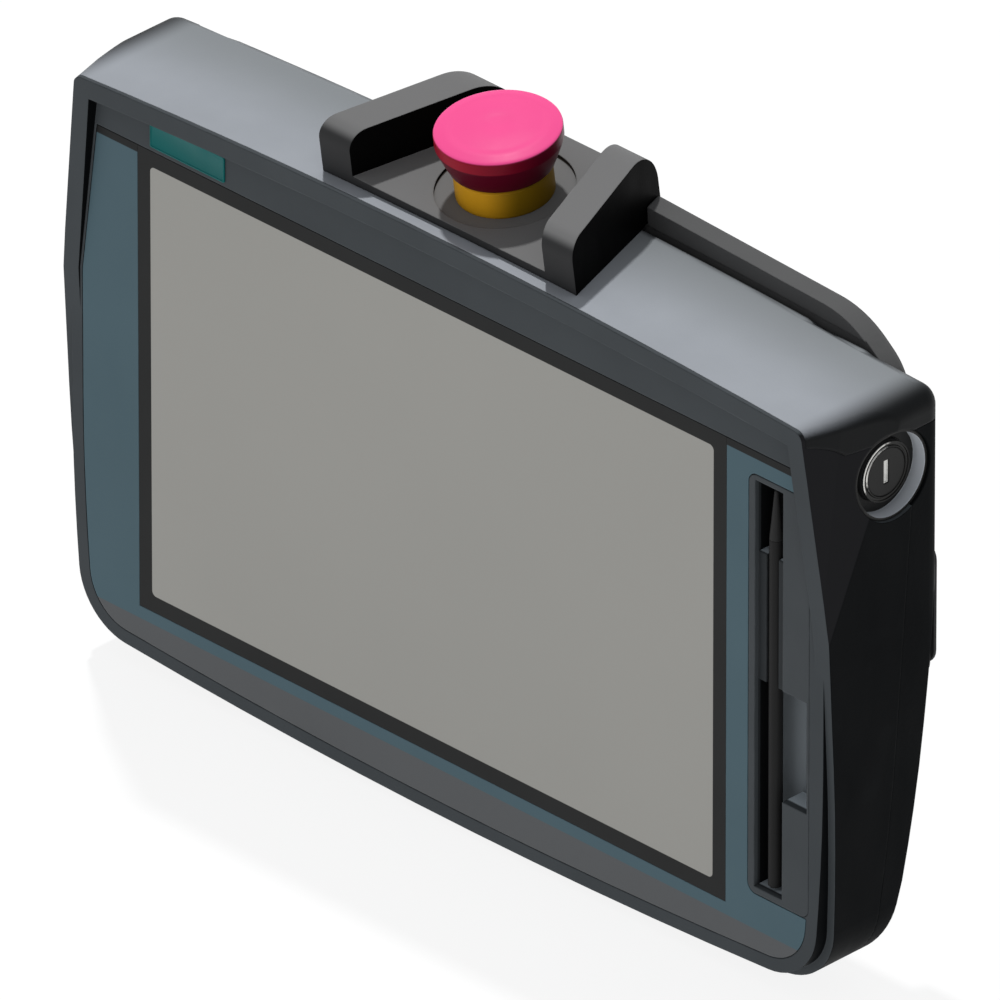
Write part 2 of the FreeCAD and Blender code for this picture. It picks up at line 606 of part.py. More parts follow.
# Stylus and the tray that holds it, with clip cheeks and a finger scoop.
tray_block = extrude("tray_block", tray_outline(0.0), FRONT_VIEW, Y_AXIS, "0", "tray_depth")
slot = box("stylus_slot", (SLOT_LEFT, SLOT_RIGHT), ("-1", "slot_depth"), ("slot_bottom", "slot_top"))
scoop_lip, scoop_floor = number(TRAY_RIGHT + "-scoop_lip"), number(SLOT_RIGHT + "+scoop_floor")
scoop_start = number(SLOT_RIGHT) - 0.5
scoop_edges = polygon([(scoop_start, -1), (scoop_lip + 1, -1), (scoop_lip, 0),
                       (scoop_floor, size("slot_depth")), (scoop_start, size("slot_depth"))])
scoop = extrude("scoop", scoop_edges, FreeCAD.Rotation(), Z_AXIS, "scoop_bottom", "scoop_top-scoop_bottom")
hollow_tray = cut("hollow_tray", tray_block, slot, scoop)
cheek_y, cheek_z = ("clip_depth", "slot_depth"), ("clip_bottom", "clip_top")
cheeks = [box("cheek", (SLOT_LEFT, STYLUS_X + "-stylus_radius-stylus_gap"), cheek_y, cheek_z),
          box("cheek", (STYLUS_X + "+stylus_radius+stylus_gap", SLOT_RIGHT), cheek_y, cheek_z)]
ribs = [box("rib", (STYLUS_X + "-stylus_radius", STYLUS_X + "+stylus_radius"),
            ("stylus_depth+stylus_radius+stylus_gap", "slot_depth"), (z, z + "+6"))
        for z in ("-55", "18", "38")]
node("stylus_tray", fuse("tray_solid", hollow_tray, *(cheeks + ribs)))
stylus_place = FreeCAD.Placement(V(number(STYLUS_X), size("stylus_depth"), 0), FreeCAD.Rotation())
node("stylus_barrel", turned("stylus_barrel", [
    ("0", "stylus_foot"), ("stylus_radius-0.5", "stylus_foot"), ("stylus_radius", "stylus_foot+0.5"),
    ("stylus_radius", "stylus_shoulder"), ("0", "stylus_shoulder")]), stylus_place)
node("stylus_tip", turned("stylus_tip", [
    ("0", "stylus_shoulder"), ("stylus_radius", "stylus_shoulder"), ("stylus_point", "stylus_head-0.4"),
    ("stylus_point-0.3", "stylus_head"), ("0", "stylus_head")]), stylus_place)

# Emergency stop: guard with two converging wings on a tilted plate, collar, mushroom knob,
# shaft, spring, threaded barrel with its ring nut, and contact block.
front, rear = size("guard_front"), size("guard_rear")
half_front, half_rear = size("guard_half_front"), size("guard_half_rear")
wing = size("wing_width")
plan = [(-half_front, front), (half_front, front), (half_rear, rear), (-half_rear, rear)]
guard_plate = extrude("guard_plate", polygon(plan), FreeCAD.Rotation(), Z_AXIS, "-guard_root", "guard_root")
height, root = size("wing_height"), size("guard_root")
nose, tail = size("wing_front_round"), size("wing_rear_round")
corner = 1 - math.sqrt(0.5)
side_edges = [
    arc((front, height - nose), (front + nose * corner, height - nose * corner), (front + nose, height)),
    arc((rear - tail, height), (rear - tail * corner, height - tail * corner), (rear, height - tail))]
side_edges += polygon([(rear, height - tail), (rear, -root), (front, -root), (front, height - nose)])[:3]
side_edges += polygon([(front + nose, height), (rear - tail, height)])[:1]
wing_side = extrude("wing_side", side_edges, SIDE_VIEW, X_AXIS, "-half_width", "2*half_width")
wings = []
for side in (-1, 1):
    strip = [(side * half_front, front), (side * half_rear, rear), (side * (half_rear - wing), rear),
             (side * (half_front - wing), front)]
    wing_plan = extrude("wing_plan", polygon(strip), FreeCAD.Rotation(), Z_AXIS, "-guard_root",
                        "guard_root+wing_height")
    wings.append(common("wing", wing_plan, wing_side))
guard_local = fuse("guard_local", guard_plate, *wings)
dish = rod("guard_dish", "Z", "dish_radius", "-dish_depth", "dish_depth")
guard_dished = cut("guard_dished", guard_local, dish)
guard_tilted = doc.addObject("Part::Compound", "guard_tilted")
guard_tilted.Links = [guard_dished]
guard_tilted.Placement = estop_axis
deck_under_guard = prism("deck_under_guard", "-joint_gap", "-20", "depth-rear_round/2")
node("estop_guard", cut("guard_solid", guard_tilted, deck_under_guard, barrel_hole))
node("estop_collar", turned("estop_collar", [
    ("knob_hub+hub_gap", "-dish_depth"), ("collar_radius", "-dish_depth"), ("collar_radius", "collar_top-1"),
    ("collar_radius-1", "collar_top"), ("knob_hub+hub_gap", "collar_top")]), estop_axis)
cavity_radius = "collar_radius+hub_gap"
node("estop_knob", turned("estop_knob", [
    ("shaft_radius+running_gap", "knob_foot"), ("knob_hub", "knob_foot"), ("knob_hub", "knob_roof"),
    (cavity_radius, "knob_roof"), (cavity_radius, "knob_skirt"),
    (cavity_radius + "+knob_wall", "knob_skirt"), ("knob_radius", "knob_top-knob_band"),
    ("knob_radius", "knob_top-1.5"),
    ("knob_radius-0.6", "knob_top-0.5"), ("knob_radius-1.8", "knob_top"), ("knob_radius-4.3", "knob_top"),
    ("knob_eye", "knob_top-0.5"),
    ("knob_eye-0.2", "knob_top-0.8"), ("0", "knob_top-0.8"), ("0", "knob_seat"),
    ("shaft_radius+running_gap", "knob_seat")]), estop_axis)
node("estop_shaft", turned("estop_shaft", [
    ("0", "shaft_foot"), ("shaft_radius", "shaft_foot"), ("shaft_radius", "shaft_top"), ("0", "shaft_top")]),
    estop_axis)
node("estop_barrel", turned("estop_barrel", [
    ("shaft_radius+hub_gap", "barrel_foot"), ("barrel_radius", "barrel_foot"),
    ("barrel_radius", "barrel_top"), ("shaft_radius+hub_gap", "barrel_top")]), estop_axis)
node("estop_nut", turned("estop_nut", [
    ("barrel_radius+running_gap", "boss_foot-nut_height"), ("boss_radius-1", "boss_foot-nut_height"),
    ("boss_radius-1", "boss_foot"), ("barrel_radius+running_gap", "boss_foot")]), estop_axis)
contact_block = body("estop_contact_block")
block_sketch = profile(contact_block, "XY_Plane", [
    ("-block_half", "-block_depth"), ("block_half", "-block_depth"), ("block_half", "block_depth"),
    ("-block_half", "block_depth")])
block_pad = contact_block.newObject("PartDesign::Pad", "block")
block_pad.Profile = block_sketch
bind(block_pad, Length="barrel_foot-block_foot")
bore = "spring_radius+spring_wire+hub_gap"
block_bore = contact_block.newObject("PartDesign::SubtractiveCylinder", "spring_bore")
bind(block_bore, Radius=bore, Height="barrel_foot-block_foot-4")
block_bore.Placement = FreeCAD.Placement(V(0, 0, 4), FreeCAD.Rotation())
node("estop_contact_block", contact_block,
     estop_axis.multiply(FreeCAD.Placement(V(0, 0, size("block_foot")), FreeCAD.Rotation())))


def coil(name, radius, wire, start, end, turns):
    """A compression spring of square wire between two heights on the Z axis."""
    spine = Part.Wire(Part.makeHelix((end - start - 2 * wire) / turns, end - start - 2 * wire, radius))
    square = ((-1, -1), (1, -1), (1, 1), (-1, 1), (-1, -1))
    corners = [V(radius + dx * wire, 0, dz * wire) for dx, dz in square]
    section = Part.makePolygon(corners)
    spring = doc.addObject("Part::Feature", name)
    spring.Shape = spine.makePipeShell([section], True, True)
    spring.Placement = FreeCAD.Placement(V(0, 0, start + wire), FreeCAD.Rotation())
    return spring


estop_spring = doc.addObject("Part::Compound", "spring_on_axis")
estop_spring.Links = [coil("spring_coil", size("spring_radius") - 1, size("spring_wire"),
                           size("block_foot") + 4, size("shaft_foot"), 3)]
estop_spring.Placement = estop_axis
node("estop_spring", estop_spring)

# Key switch: cup in the side, lock body, turning cylinder with the key slot, nut and contacts.
key_place = FreeCAD.Placement(V(0, size("key_depth"), size("key_level")), ALONG["X"])
cup_radius = "key_recess-key_gap"
cup_seat = doc.addObject("Part::Compound", "cup_seat")
cup_seat.Links = [turned("cup_turned", [
    ("lock_radius+key_gap", CUP_BACK), (cup_radius, CUP_BACK), (cup_radius, "half_width-cup_lip"),
    (cup_radius + "-cup_wall", "half_width-cup_lip"), (cup_radius + "-cup_wall", CUP_FLOOR),
    ("lock_radius+key_gap", CUP_FLOOR)])]
cup_seat.Placement = key_place
node("key_cup", cut("cup_solid", cup_seat, *outside_facets(size("cup_lip") / 2)))
node("key_lock_body", turned("key_lock_body", [
    ("lock_bore", LOCK_FOOT), ("lock_radius", LOCK_FOOT), ("lock_radius", LOCK_FACE + "-0.4"),
    ("lock_radius-0.4", LOCK_FACE), ("lock_bore", LOCK_FACE)]), key_place)
node("key_nut", turned("key_nut", [
    (cup_radius + "+running_gap", CUP_BACK), ("key_nut_radius", CUP_BACK), ("key_nut_radius", CUP_FLOOR),
    (cup_radius + "+running_gap", CUP_FLOOR)]), key_place)
cylinder_face = LOCK_FACE + "+0.2"
cylinder = turned("key_cylinder", [
    ("0", LOCK_FOOT), ("lock_bore-running_gap", LOCK_FOOT), ("lock_bore-running_gap", cylinder_face),
    ("0", cylinder_face)])
slot_sketch = profile(cylinder, "XY_Plane", [
    ("-key_slot_length/2", "-key_slot_width/2"), ("key_slot_length/2", "-key_slot_width/2"),
    ("key_slot_length/2", "key_slot_width/2"), ("-key_slot_length/2", "key_slot_width/2")], "slot")
slot_sketch.AttachmentOffset = FreeCAD.Placement(V(0, 0, number(cylinder_face)), FreeCAD.Rotation())
keyway = cylinder.newObject("PartDesign::Pocket", "keyway")
keyway.Profile = slot_sketch
bind(keyway, Length="key_slot_depth")
node("key_cylinder", cylinder, key_place)
node("key_contact_block", box("key_contacts", (LOCK_FOOT + "-key_block_length", LOCK_FOOT),
                              ("key_depth-key_block", "key_depth+key_block"),
                              ("key_level-key_block", "key_level+key_block")))

# Rear grip: a rounded block on the right half of the back, with the pocket of the enabling button.
grip_right = number("half_width-grip_margin")
grip_edges = rounded_polygon([
    (size("grip_left"), size("grip_head"), 3), (112, size("grip_head") - 4, 30), (127.5, 82, 18),
    (grip_right, 22, 40), (grip_right - 5.5, size("grip_foot"), 9),
    (size("grip_left"), size("grip_foot"), 16)])
grip_block = extrude("grip_block", grip_edges, FRONT_VIEW, Y_AXIS, "depth-waist_inset-2",
                     "grip_height+waist_inset+2")
doc.recompute()
grip_round = doc.addObject("Part::Fillet", "grip_round")
grip_round.Base = grip_block
grip_round.Edges = [(index, size("grip_round"), size("grip_round"))
                    for index, edge in enumerate(grip_block.Shape.Edges, start=1)
                    if edge.BoundBox.YMin > number(GRIP_REAR) - 1e-4]


def button_outline(name, margin, start, end):
    """The enabling button's outline, grown by a margin, between two depths."""
    grow = number(margin)
    half_width, half_height = size("button_half_width") + grow, size("button_half_height") + grow
    middle = number(BUTTON_X)
    level = size("button_level")
    edges = rounded_rectangle(middle - half_width, middle + half_width, level - half_height,
                              level + half_height, size("button_round") + grow)
    return extrude(name, edges, FRONT_VIEW, Y_AXIS, start, "(%s)-(%s)" % (end, start))


pocket = fuse("button_pocket",
              button_outline("pocket_room", "flange_width+button_gap", POCKET_FLOOR,
                             FLANGE_TOP + "+button_gap"),
              button_outline("pocket_mouth", "button_gap", POCKET_FLOOR, GRIP_REAR + "+10"))
grip_seat = cut("grip_seat", prism("grip_seat_prism", "0", "-12", "depth"),
                rear_cut("grip_slope", -size("joint_gap")))
above_step = box("above_step", ("-half_width", "half_width"), ("0", "depth-grip_sink"),
                 ("step_level", "deck_height+20"))
room = size("hub_gap")
room_plan = polygon([(-half_front - room, front - room), (half_front + room, front - room),
                     (half_rear + room, rear + room), (-half_rear - room, rear + room)])
guard_room = doc.addObject("Part::Compound", "guard_room")
guard_room.Links = [extrude("guard_space", room_plan, FreeCAD.Rotation(), Z_AXIS, "-guard_root-hub_gap",
                            "guard_root+2*wing_height")]
guard_room.Placement = estop_axis
node("rear_grip", cut("grip_solid", grip_round, grip_seat, above_step, pocket, guard_room))
button_cap = button_outline("button_cap", "0", FLANGE_FOOT, "depth+button_rise")
doc.recompute()
button_round = doc.addObject("Part::Fillet", "button_round")
button_round.Base = button_cap
button_round.Edges = [(index, 2.0, 2.0) for index, edge in enumerate(button_cap.Shape.Edges, start=1)
                      if edge.BoundBox.YMin > number("depth+button_rise") - 1e-4]
node("enabling_button", fuse("button_solid", button_round,
                             button_outline("button_flange", "flange_width", FLANGE_FOOT, FLANGE_TOP)))
switch_top = POCKET_FLOOR + "+switch_thickness"
node("enabling_switch", box("switch",
                            (BUTTON_X + "-button_half_width+0.5", BUTTON_X + "+button_half_width-0.5"),
                            (POCKET_FLOOR, switch_top),
                            ("button_level-button_half_height+2", "button_level+button_half_height-2")))
spring_seat = doc.addObject("Part::Compound", "button_spring_seat")
spring_seat.Links = [coil("button_coil", 3.0, 0.35, number(switch_top), number(FLANGE_FOOT), 2)]
spring_seat.Placement = FreeCAD.Placement(V(number(BUTTON_X), 0, size("button_level")), ALONG["Y"])
node("enabling_spring", spring_seat)

# Rear shell with the connection bay, its lid and the cable inlet.
bay_x, bay_z = ("-bay_half_width", "bay_half_width"), ("bay_bottom", "bay_top")
bay_frame = common("bay_frame", box("bay_frame_block", widened(bay_x, "bay_wall"),
                                    (BAY_FLOOR + "-bay_wall", "depth"), widened(bay_z, "bay_wall")), blank)
bay_recess = box("bay_recess", bay_x, (BAY_FLOOR, "depth+10"), bay_z)
bay_window = box("bay_window", widened(bay_x, "-bay_ledge"), ("0", "depth"), widened(bay_z, "-bay_ledge"))
rear_half = common("rear_half", shell_blank, beyond_split("behind_split", 1))
rear_bosses = common("rear_bosses", all_bosses, beyond_split("rear_boss_split", 1))
rear_wall = cut("rear_wall", rear_half, cavity)
rear_key_boss = common("rear_key_boss", key_boss, beyond_split("rear_key_split", 1))
rear_body = fuse("rear_body", rear_wall, rear_bosses, bay_frame, rear_key_boss)
rear_screw_cuts = fuse("rear_screw_cuts", *screw_holes)
node("rear_shell", cut("rear_solid", rear_body, bay_recess, bay_window, rear_screw_cuts, boss_room,
                       key_hole, nut_room, seal_groove))
lid_x, lid_z = widened(bay_x, "-bay_gap"), widened(bay_z, "-bay_gap")
lid_y = (BAY_FLOOR, BAY_FLOOR + "+bay_lid")
lid_screws, lid_holes = [], []
for x in widened(bay_x, "-bay_ledge/2"):
    for z in widened(bay_z, "-bay_ledge/2"):
        lid_holes.append(rod("lid_hole", "Y", "screw_radius+screw_gap", lid_y[0] + "-1", lid_y[1] + "+1",
                             x, z))
        lid_screws.append(rod("lid_screw", "Y", "screw_radius", lid_y[0], lid_y[1], x, z))
        lid_screws.append(rod("lid_screw_head", "Y", "screw_head", lid_y[1], lid_y[1] + "+1.6", x, z))
inlet_hole = rod("inlet_hole", "Y", "inlet_radius+screw_gap", "0", "depth+10", "0", "inlet_level")
node("connection_lid", cut("lid_solid", box("lid", lid_x, lid_y, lid_z), inlet_hole, *lid_holes))
node("lid_screws", fuse("lid_screw_set", *lid_screws))
inlet_place = FreeCAD.Placement(V(0, number(lid_y[1]), size("inlet_level")), ALONG["Y"])
node("cable_inlet", turned("cable_inlet", [
    ("inlet_bore", "inlet_flange_height-inlet_length"), ("inlet_radius", "inlet_flange_height-inlet_length"),
    ("inlet_radius", "0"), ("inlet_flange", "0"), ("inlet_flange", "inlet_flange_height-0.5"),
    ("inlet_flange-0.5", "inlet_flange_height"), ("inlet_bore", "inlet_flange_height")]), inlet_place)
node("inlet_nut", turned("inlet_nut", [
    ("inlet_radius+running_gap", "-bay_lid-inlet_nut_height"), ("inlet_nut", "-bay_lid-inlet_nut_height"),
    ("inlet_nut", "-bay_lid"), ("inlet_radius+running_gap", "-bay_lid")]), inlet_place)

doc.recompute()
failed = [item.Label for item in doc.Objects if "Invalid" in item.State or "Error" in item.State]
for piece in NODES:
    if piece.Shape.isNull() or not piece.Shape.isValid() or not piece.Shape.Solids:
        failed.append(piece.Label)
if failed:
    raise RuntimeError("These objects failed: " + ", ".join(failed))
os.makedirs("parts", exist_ok=True)
for piece in NODES:
    piece.Shape.exportStep(os.path.join("parts", piece.Label + ".step"))
    print(piece.Label, len(piece.Shape.Solids), round(piece.Shape.Volume))
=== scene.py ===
import math

import bmesh
import bpy
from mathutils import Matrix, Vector


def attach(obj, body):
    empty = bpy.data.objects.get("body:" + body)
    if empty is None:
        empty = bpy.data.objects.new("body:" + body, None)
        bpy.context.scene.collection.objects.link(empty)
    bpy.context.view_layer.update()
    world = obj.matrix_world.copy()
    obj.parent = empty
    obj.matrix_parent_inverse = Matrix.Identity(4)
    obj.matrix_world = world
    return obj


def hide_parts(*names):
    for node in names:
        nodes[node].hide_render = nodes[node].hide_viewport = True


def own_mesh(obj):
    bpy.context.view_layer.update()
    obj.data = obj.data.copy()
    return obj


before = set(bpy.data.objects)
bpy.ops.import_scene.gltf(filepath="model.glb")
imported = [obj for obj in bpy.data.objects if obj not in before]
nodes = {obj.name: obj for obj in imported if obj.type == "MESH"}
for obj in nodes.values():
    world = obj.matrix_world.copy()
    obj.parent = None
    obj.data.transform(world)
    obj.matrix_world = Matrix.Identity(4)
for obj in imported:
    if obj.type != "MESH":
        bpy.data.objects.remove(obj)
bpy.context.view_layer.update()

# The housing is drawn from the middle of its display, in millimetres: X to the right, Y back from the
# front foil and Z up. The rear face's middle, where a holder carries the panel, is the frame's origin.
MM = 0.001
HOUSING_DEPTH = 43
ORIGIN_LEVEL = 62
STOP_TILT = math.radians(8)


def spot(x, y, z):
    """A place on the housing, in millimetres from the display's middle, in the frame's metres."""
    return Vector((x, y - HOUSING_DEPTH, z - ORIGIN_LEVEL)) * MM


def depth_of(y):
    """A distance back from the front foil, in millimetres, on the frame's Y axis."""
    return (y - HOUSING_DEPTH) * MM


def level_of(z):
    """A height over the display's middle, in millimetres, on the frame's Z axis."""
    return (z - ORIGIN_LEVEL) * MM


# Where the pieces sit.
STOP_SEAT = spot(0, 23.2, 97.9)
KEY_SEAT = spot(144, 24.6, 66.6)
BADGE_SEAT = spot(-99.2, 0.0, 78.3)
BUTTON_SEAT = spot(126.0, 0.0, 12.0)
GRIP_SEAT = spot(72.0, 0.0, 44.0)
INLET_SEAT = spot(0.0, 0.0, -37.5)
HOUSING_SEATS = [(-92, 40, 78), (92, 40, 78), (-128, 25, -71), (128, 25, -71)]
LID_SEATS = [(side * 42.5, 30, level) for side in (-1, 1) for level in (-17.5, -57.5)]

# Ways to lay a piece that is modelled upright.
LEANING = (STOP_TILT, 0.0, 0.0)
TO_FRONT = (math.pi / 2, 0.0, 0.0)
TO_REAR = (-math.pi / 2, 0.0, 0.0)
TO_RIGHT = (0.0, math.pi / 2, 0.0)

# Printed fields, and where painted light and shade lie, in millimetres on the housing.
DISPLAY_MIDDLE = (-5.5, 0.0)
DISPLAY_HALF = (108.48, 67.8)
DISPLAY_CORNER = 1.6
FOIL_HEAD = 70.3
FOIL_FOOT = -77.0
PRINT_BLUR = 0.08
DECK_FRONT, DECK_BEHIND = 7.0, 39.0
DECK_END, WALL_START = 134.5, 146.0
CHEEK_DEPTH = 1.4
SLOT_DEPTH = 2.1
SLOT_RIGHT = 129.65
SCOOP_LEVEL = -19.5
SCOOP_REACH = 21.65
SCOOP_FLOOR = 7.2

# Finishes. Colours first, in the order of the pieces.
DECK_GREY = (0.335, 0.355, 0.385)
# Painted shade on the deck: darker towards its rear, and darker still on its rear edge.
DECK_BACK_SHADE = (0.240, 0.256, 0.268)
DECK_REAR_SHADE = (0.055, 0.058, 0.062)
FRONT_GREY = (0.068, 0.076, 0.082)
# Painted shade: the facets a little lighter, the side walls near black, and the rear shell's rear faces a
# dark grey.
FACET_SHADE = (0.0165, 0.0165, 0.018)
WALL_SHADE_BLACK = (0.0046, 0.0052, 0.0058)
REAR_FACE_SHADE = (0.024, 0.025, 0.027)
GRIP_GREY = (0.105, 0.104, 0.104)
# Painted light on the grip's top, painted shade on its rear.
GRIP_TOP_LIT = (0.108, 0.108, 0.108)
GRIP_REAR_SHADE = (0.036, 0.036, 0.037)
PAD_BLACK = (0.020, 0.020, 0.021)
FOIL_BLUE = (0.088, 0.142, 0.168)
FOIL_DARK = (0.028, 0.0285, 0.0285)
FOIL_STRIP = (0.122, 0.127, 0.132)
BADGE_TEAL = (0.0012, 0.125, 0.122)
SCREEN_GREY = (0.385, 0.378, 0.352)
MASK_BLACK = (0.021, 0.0215, 0.0215)
# Painted shade in the pen's slot.
SLOT_SHADE = (0.006, 0.0065, 0.007)
STYLUS_BLACK = (0.022, 0.022, 0.022)
STYLUS_TIP = (0.034, 0.034, 0.034)
GUARD_GREY = (0.046, 0.046, 0.047)
# Painted light on the guard's tops, painted shade near black on its sides.
GUARD_TOP_LIT = (0.184, 0.183, 0.182)
GUARD_SIDE_SHADE = (0.002, 0.002, 0.002)
KNOB_RED = (0.99, 0.098, 0.325)
# Painted shade on the knob's side, painted light on its brow towards the lamp.
KNOB_SHADED_SIDE = (0.085, 0.0012, 0.011)
KNOB_LIT_BROW = (0.30, 0.006, 0.022)
COLLAR_YELLOW = (0.69, 0.34, 0.012)
# Painted shade on the collar's side away from the lamp.
COLLAR_SHADE = (0.24, 0.135, 0.004)
CUP_GREY = (0.57, 0.60, 0.64)
# Dark enamel of the lock, also used as painted shade on the key recess's floor.
DARK_ENAMEL_AND_FLOOR_SHADE = (0.021, 0.021, 0.0205)
# Painted highlight on the lock rings' crests.
RING_HIGHLIGHT = (0.66, 0.65, 0.62)
SHUTTER_GREY = (0.60, 0.60, 0.58)
BUTTON_BLACK = (0.016, 0.016, 0.017)
LID_BLACK = (0.022, 0.023, 0.024)
INLET_BLACK = (0.03, 0.03, 0.031)
SPRING_GREY = (0.55, 0.55, 0.56)
PAPER_GREY = (0.15, 0.15, 0.15)


def start_finish(name, roughness, specular=0.5, metallic=0.0):
    """A new finish with its shader, and the piece's own coordinates for its patterns."""
    finish = bpy.data.materials.new(name)
    finish.use_nodes = True
    tree = finish.node_tree
    shader = tree.nodes["Principled BSDF"]
    shader.inputs["Roughness"].default_value = roughness
    shader.inputs["Specular IOR Level"].default_value = specular
    shader.inputs["Metallic"].default_value = metallic
    place = tree.nodes.new("ShaderNodeTexCoord").outputs["Object"]
    return finish, tree, shader, place


def sum_up(tree, operation, first, second=None, clamp=False):
    """One sum of two numbers or outputs."""
    node = tree.nodes.new("ShaderNodeMath")
    node.operation = operation
    node.use_clamp = clamp
    for socket, value in zip(node.inputs, (first, second)):
        if value is None:
            continue
        if isinstance(value, (int, float)):
            socket.default_value = value
        else:
            tree.links.new(value, socket)
    return node.outputs[0]


def spread(tree, value, low, high, to_low=0.0, to_high=1.0, smooth=False):
    """A value that runs from low to high, laid over another range."""
    node = tree.nodes.new("ShaderNodeMapRange")
    node.interpolation_type = "SMOOTHSTEP" if smooth else "LINEAR"
    tree.links.new(value, node.inputs["Value"])
    for socket, number in zip(("From Min", "From Max", "To Min", "To Max"), (low, high, to_low, to_high)):
        node.inputs[socket].default_value = number
    return node.outputs["Result"]


def cloud(tree, place, scale, detail=3.0, stretch=None, rough=0.5):
    """Uneven cloud of that many lumps to the metre."""
    if stretch:
        mapping = tree.nodes.new("ShaderNodeMapping")
        mapping.inputs["Scale"].default_value = stretch
        tree.links.new(place, mapping.inputs["Vector"])
        place = mapping.outputs["Vector"]
    node = tree.nodes.new("ShaderNodeTexNoise")
    node.inputs["Scale"].default_value = scale
    node.inputs["Detail"].default_value = detail
    node.inputs["Roughness"].default_value = rough
    tree.links.new(place, node.inputs["Vector"])
    return node.outputs["Fac"]


def wander(tree, place, scale, detail, low, high, stretch=None):
    """A cloud that wanders between a low and a high value."""
    return spread(tree, cloud(tree, place, scale, detail, stretch), 0.3, 0.7, low, high)


def shade_of(colour, amount):
    """The same colour, lighter or darker."""
    return tuple(min(1.0, part * amount) for part in colour[:3]) + (1.0,)


def blend_colours(tree, share, first, second):
    """Two colours or outputs, blended by a share."""
    node = tree.nodes.new("ShaderNodeMix")
    node.data_type = "RGBA"
    node.clamp_factor = True
    tree.links.new(share, node.inputs["Factor"])
    colours = [socket for socket in node.inputs if socket.type == "RGBA"]
    for socket, value in zip(colours, (first, second)):
        if isinstance(value, tuple):
            socket.default_value = shade_of(value, 1.0)
        else:
            tree.links.new(value, socket)
    return [socket for socket in node.outputs if socket.type == "RGBA"][0]


def mottled(tree, place, colour, depth, scale=26.0):
    """A colour that is slightly uneven, as moulded or painted surfaces are."""
    lumps = spread(tree, cloud(tree, place, scale, 4.0), 0.32, 0.68)
    return blend_colours(tree, lumps, shade_of(colour, 1 - depth), shade_of(colour, 1 + depth))


def surface_way(tree):
    """The direction that the surface faces, as three numbers."""
    node = tree.nodes.new("ShaderNodeSeparateXYZ")
    tree.links.new(tree.nodes.new("ShaderNodeNewGeometry").outputs["Normal"], node.inputs[0])
    return node.outputs


def place_parts(tree, place):
    """The piece's own X, Y and Z."""
    node = tree.nodes.new("ShaderNodeSeparateXYZ")
    tree.links.new(place, node.inputs[0])
    return node.outputs


def worn_and_highlit_edges(tree, place, radius):
    """Where the edges are worn and take a painted highlight: a share, and the normal of the slightly rounded
    edge.
    """
    rounded = tree.nodes.new("ShaderNodeBevel")
    rounded.samples = 6
    rounded.inputs["Radius"].default_value = radius
    along = tree.nodes.new("ShaderNodeVectorMath")
    along.operation = "DOT_PRODUCT"
    tree.links.new(rounded.outputs["Normal"], along.inputs[0])
    tree.links.new(tree.nodes.new("ShaderNodeNewGeometry").outputs["Normal"], along.inputs[1])
    turned = spread(tree, along.outputs["Value"], 0.995, 0.8)
    patches = spread(tree, cloud(tree, place, 140.0, 4.0), 0.42, 0.7)
    return sum_up(tree, "MULTIPLY", turned, patches, clamp=True), rounded.outputs["Normal"]


def grain(tree, shader, height, strength, depth, normal=None):
    """Raised and sunk grain, from a height between 0 and 1."""
    node = tree.nodes.new("ShaderNodeBump")
    node.inputs["Strength"].default_value = strength
    node.inputs["Distance"].default_value = depth
    tree.links.new(height, node.inputs["Height"])
    if normal is not None:
        tree.links.new(normal, node.inputs["Normal"])
    tree.links.new(node.outputs["Normal"], shader.inputs["Normal"])


def moulded(name, colour, roughness=0.5, specular=0.35, pitting=0.25, pitch=1400.0, uneven=0.06, edge=0.7,
            paint=None):
    """Moulded plastic: uneven tone, spark-eroded grain, scuffs that change its shine, and edges made paler,
    both as wear and as a painted highlight.
    paint, where it is given, changes the tone over the piece, mostly with painted light and shade, and on
    the foil with print. edge is in millimetres."""
    finish, tree, shader, place = start_finish(name, roughness, specular)
    tone = mottled(tree, place, colour, uneven)
    if paint:
        tone = paint(tree, place, tone)
    highlit, normal = worn_and_highlit_edges(tree, place, edge * MM)
    # Edges made paler: wear, and a painted highlight along every edge.
    paler = tree.nodes.new("ShaderNodeHueSaturation")
    paler.inputs["Value"].default_value = 1.45
    tree.links.new(tone, paler.inputs["Color"])
    tone = blend_colours(tree, highlit, tone, paler.outputs["Color"])
    tree.links.new(tone, shader.inputs["Base Color"])
    scuffs = wander(tree, place, 90.0, 5.0, roughness - 0.07, roughness + 0.09, stretch=(1.0, 1.0, 0.35))
    tree.links.new(scuffs, shader.inputs["Roughness"])
    grain(tree, shader, cloud(tree, place, pitch, 2.0), pitting, 0.12 * MM, normal)
    return finish


def rubber(name, colour, roughness=0.75):
    """Soft rubber: dull, dusty in patches, with a fine tooth."""
    finish, tree, shader, place = start_finish(name, roughness, 0.25)
    dust = spread(tree, cloud(tree, place, 70.0, 6.0, rough=0.65), 0.5, 0.8)
    tree.links.new(blend_colours(tree, dust, shade_of(colour, 0.9), shade_of(colour, 1.7)),
                   shader.inputs["Base Color"])
    dusty = spread(tree, dust, 0.0, 1.0, roughness - 0.1, roughness + 0.1)
    tree.links.new(dusty, shader.inputs["Roughness"])
    grain(tree, shader, cloud(tree, place, 2200.0, 3.0), 0.35, 0.1 * MM)
    return finish


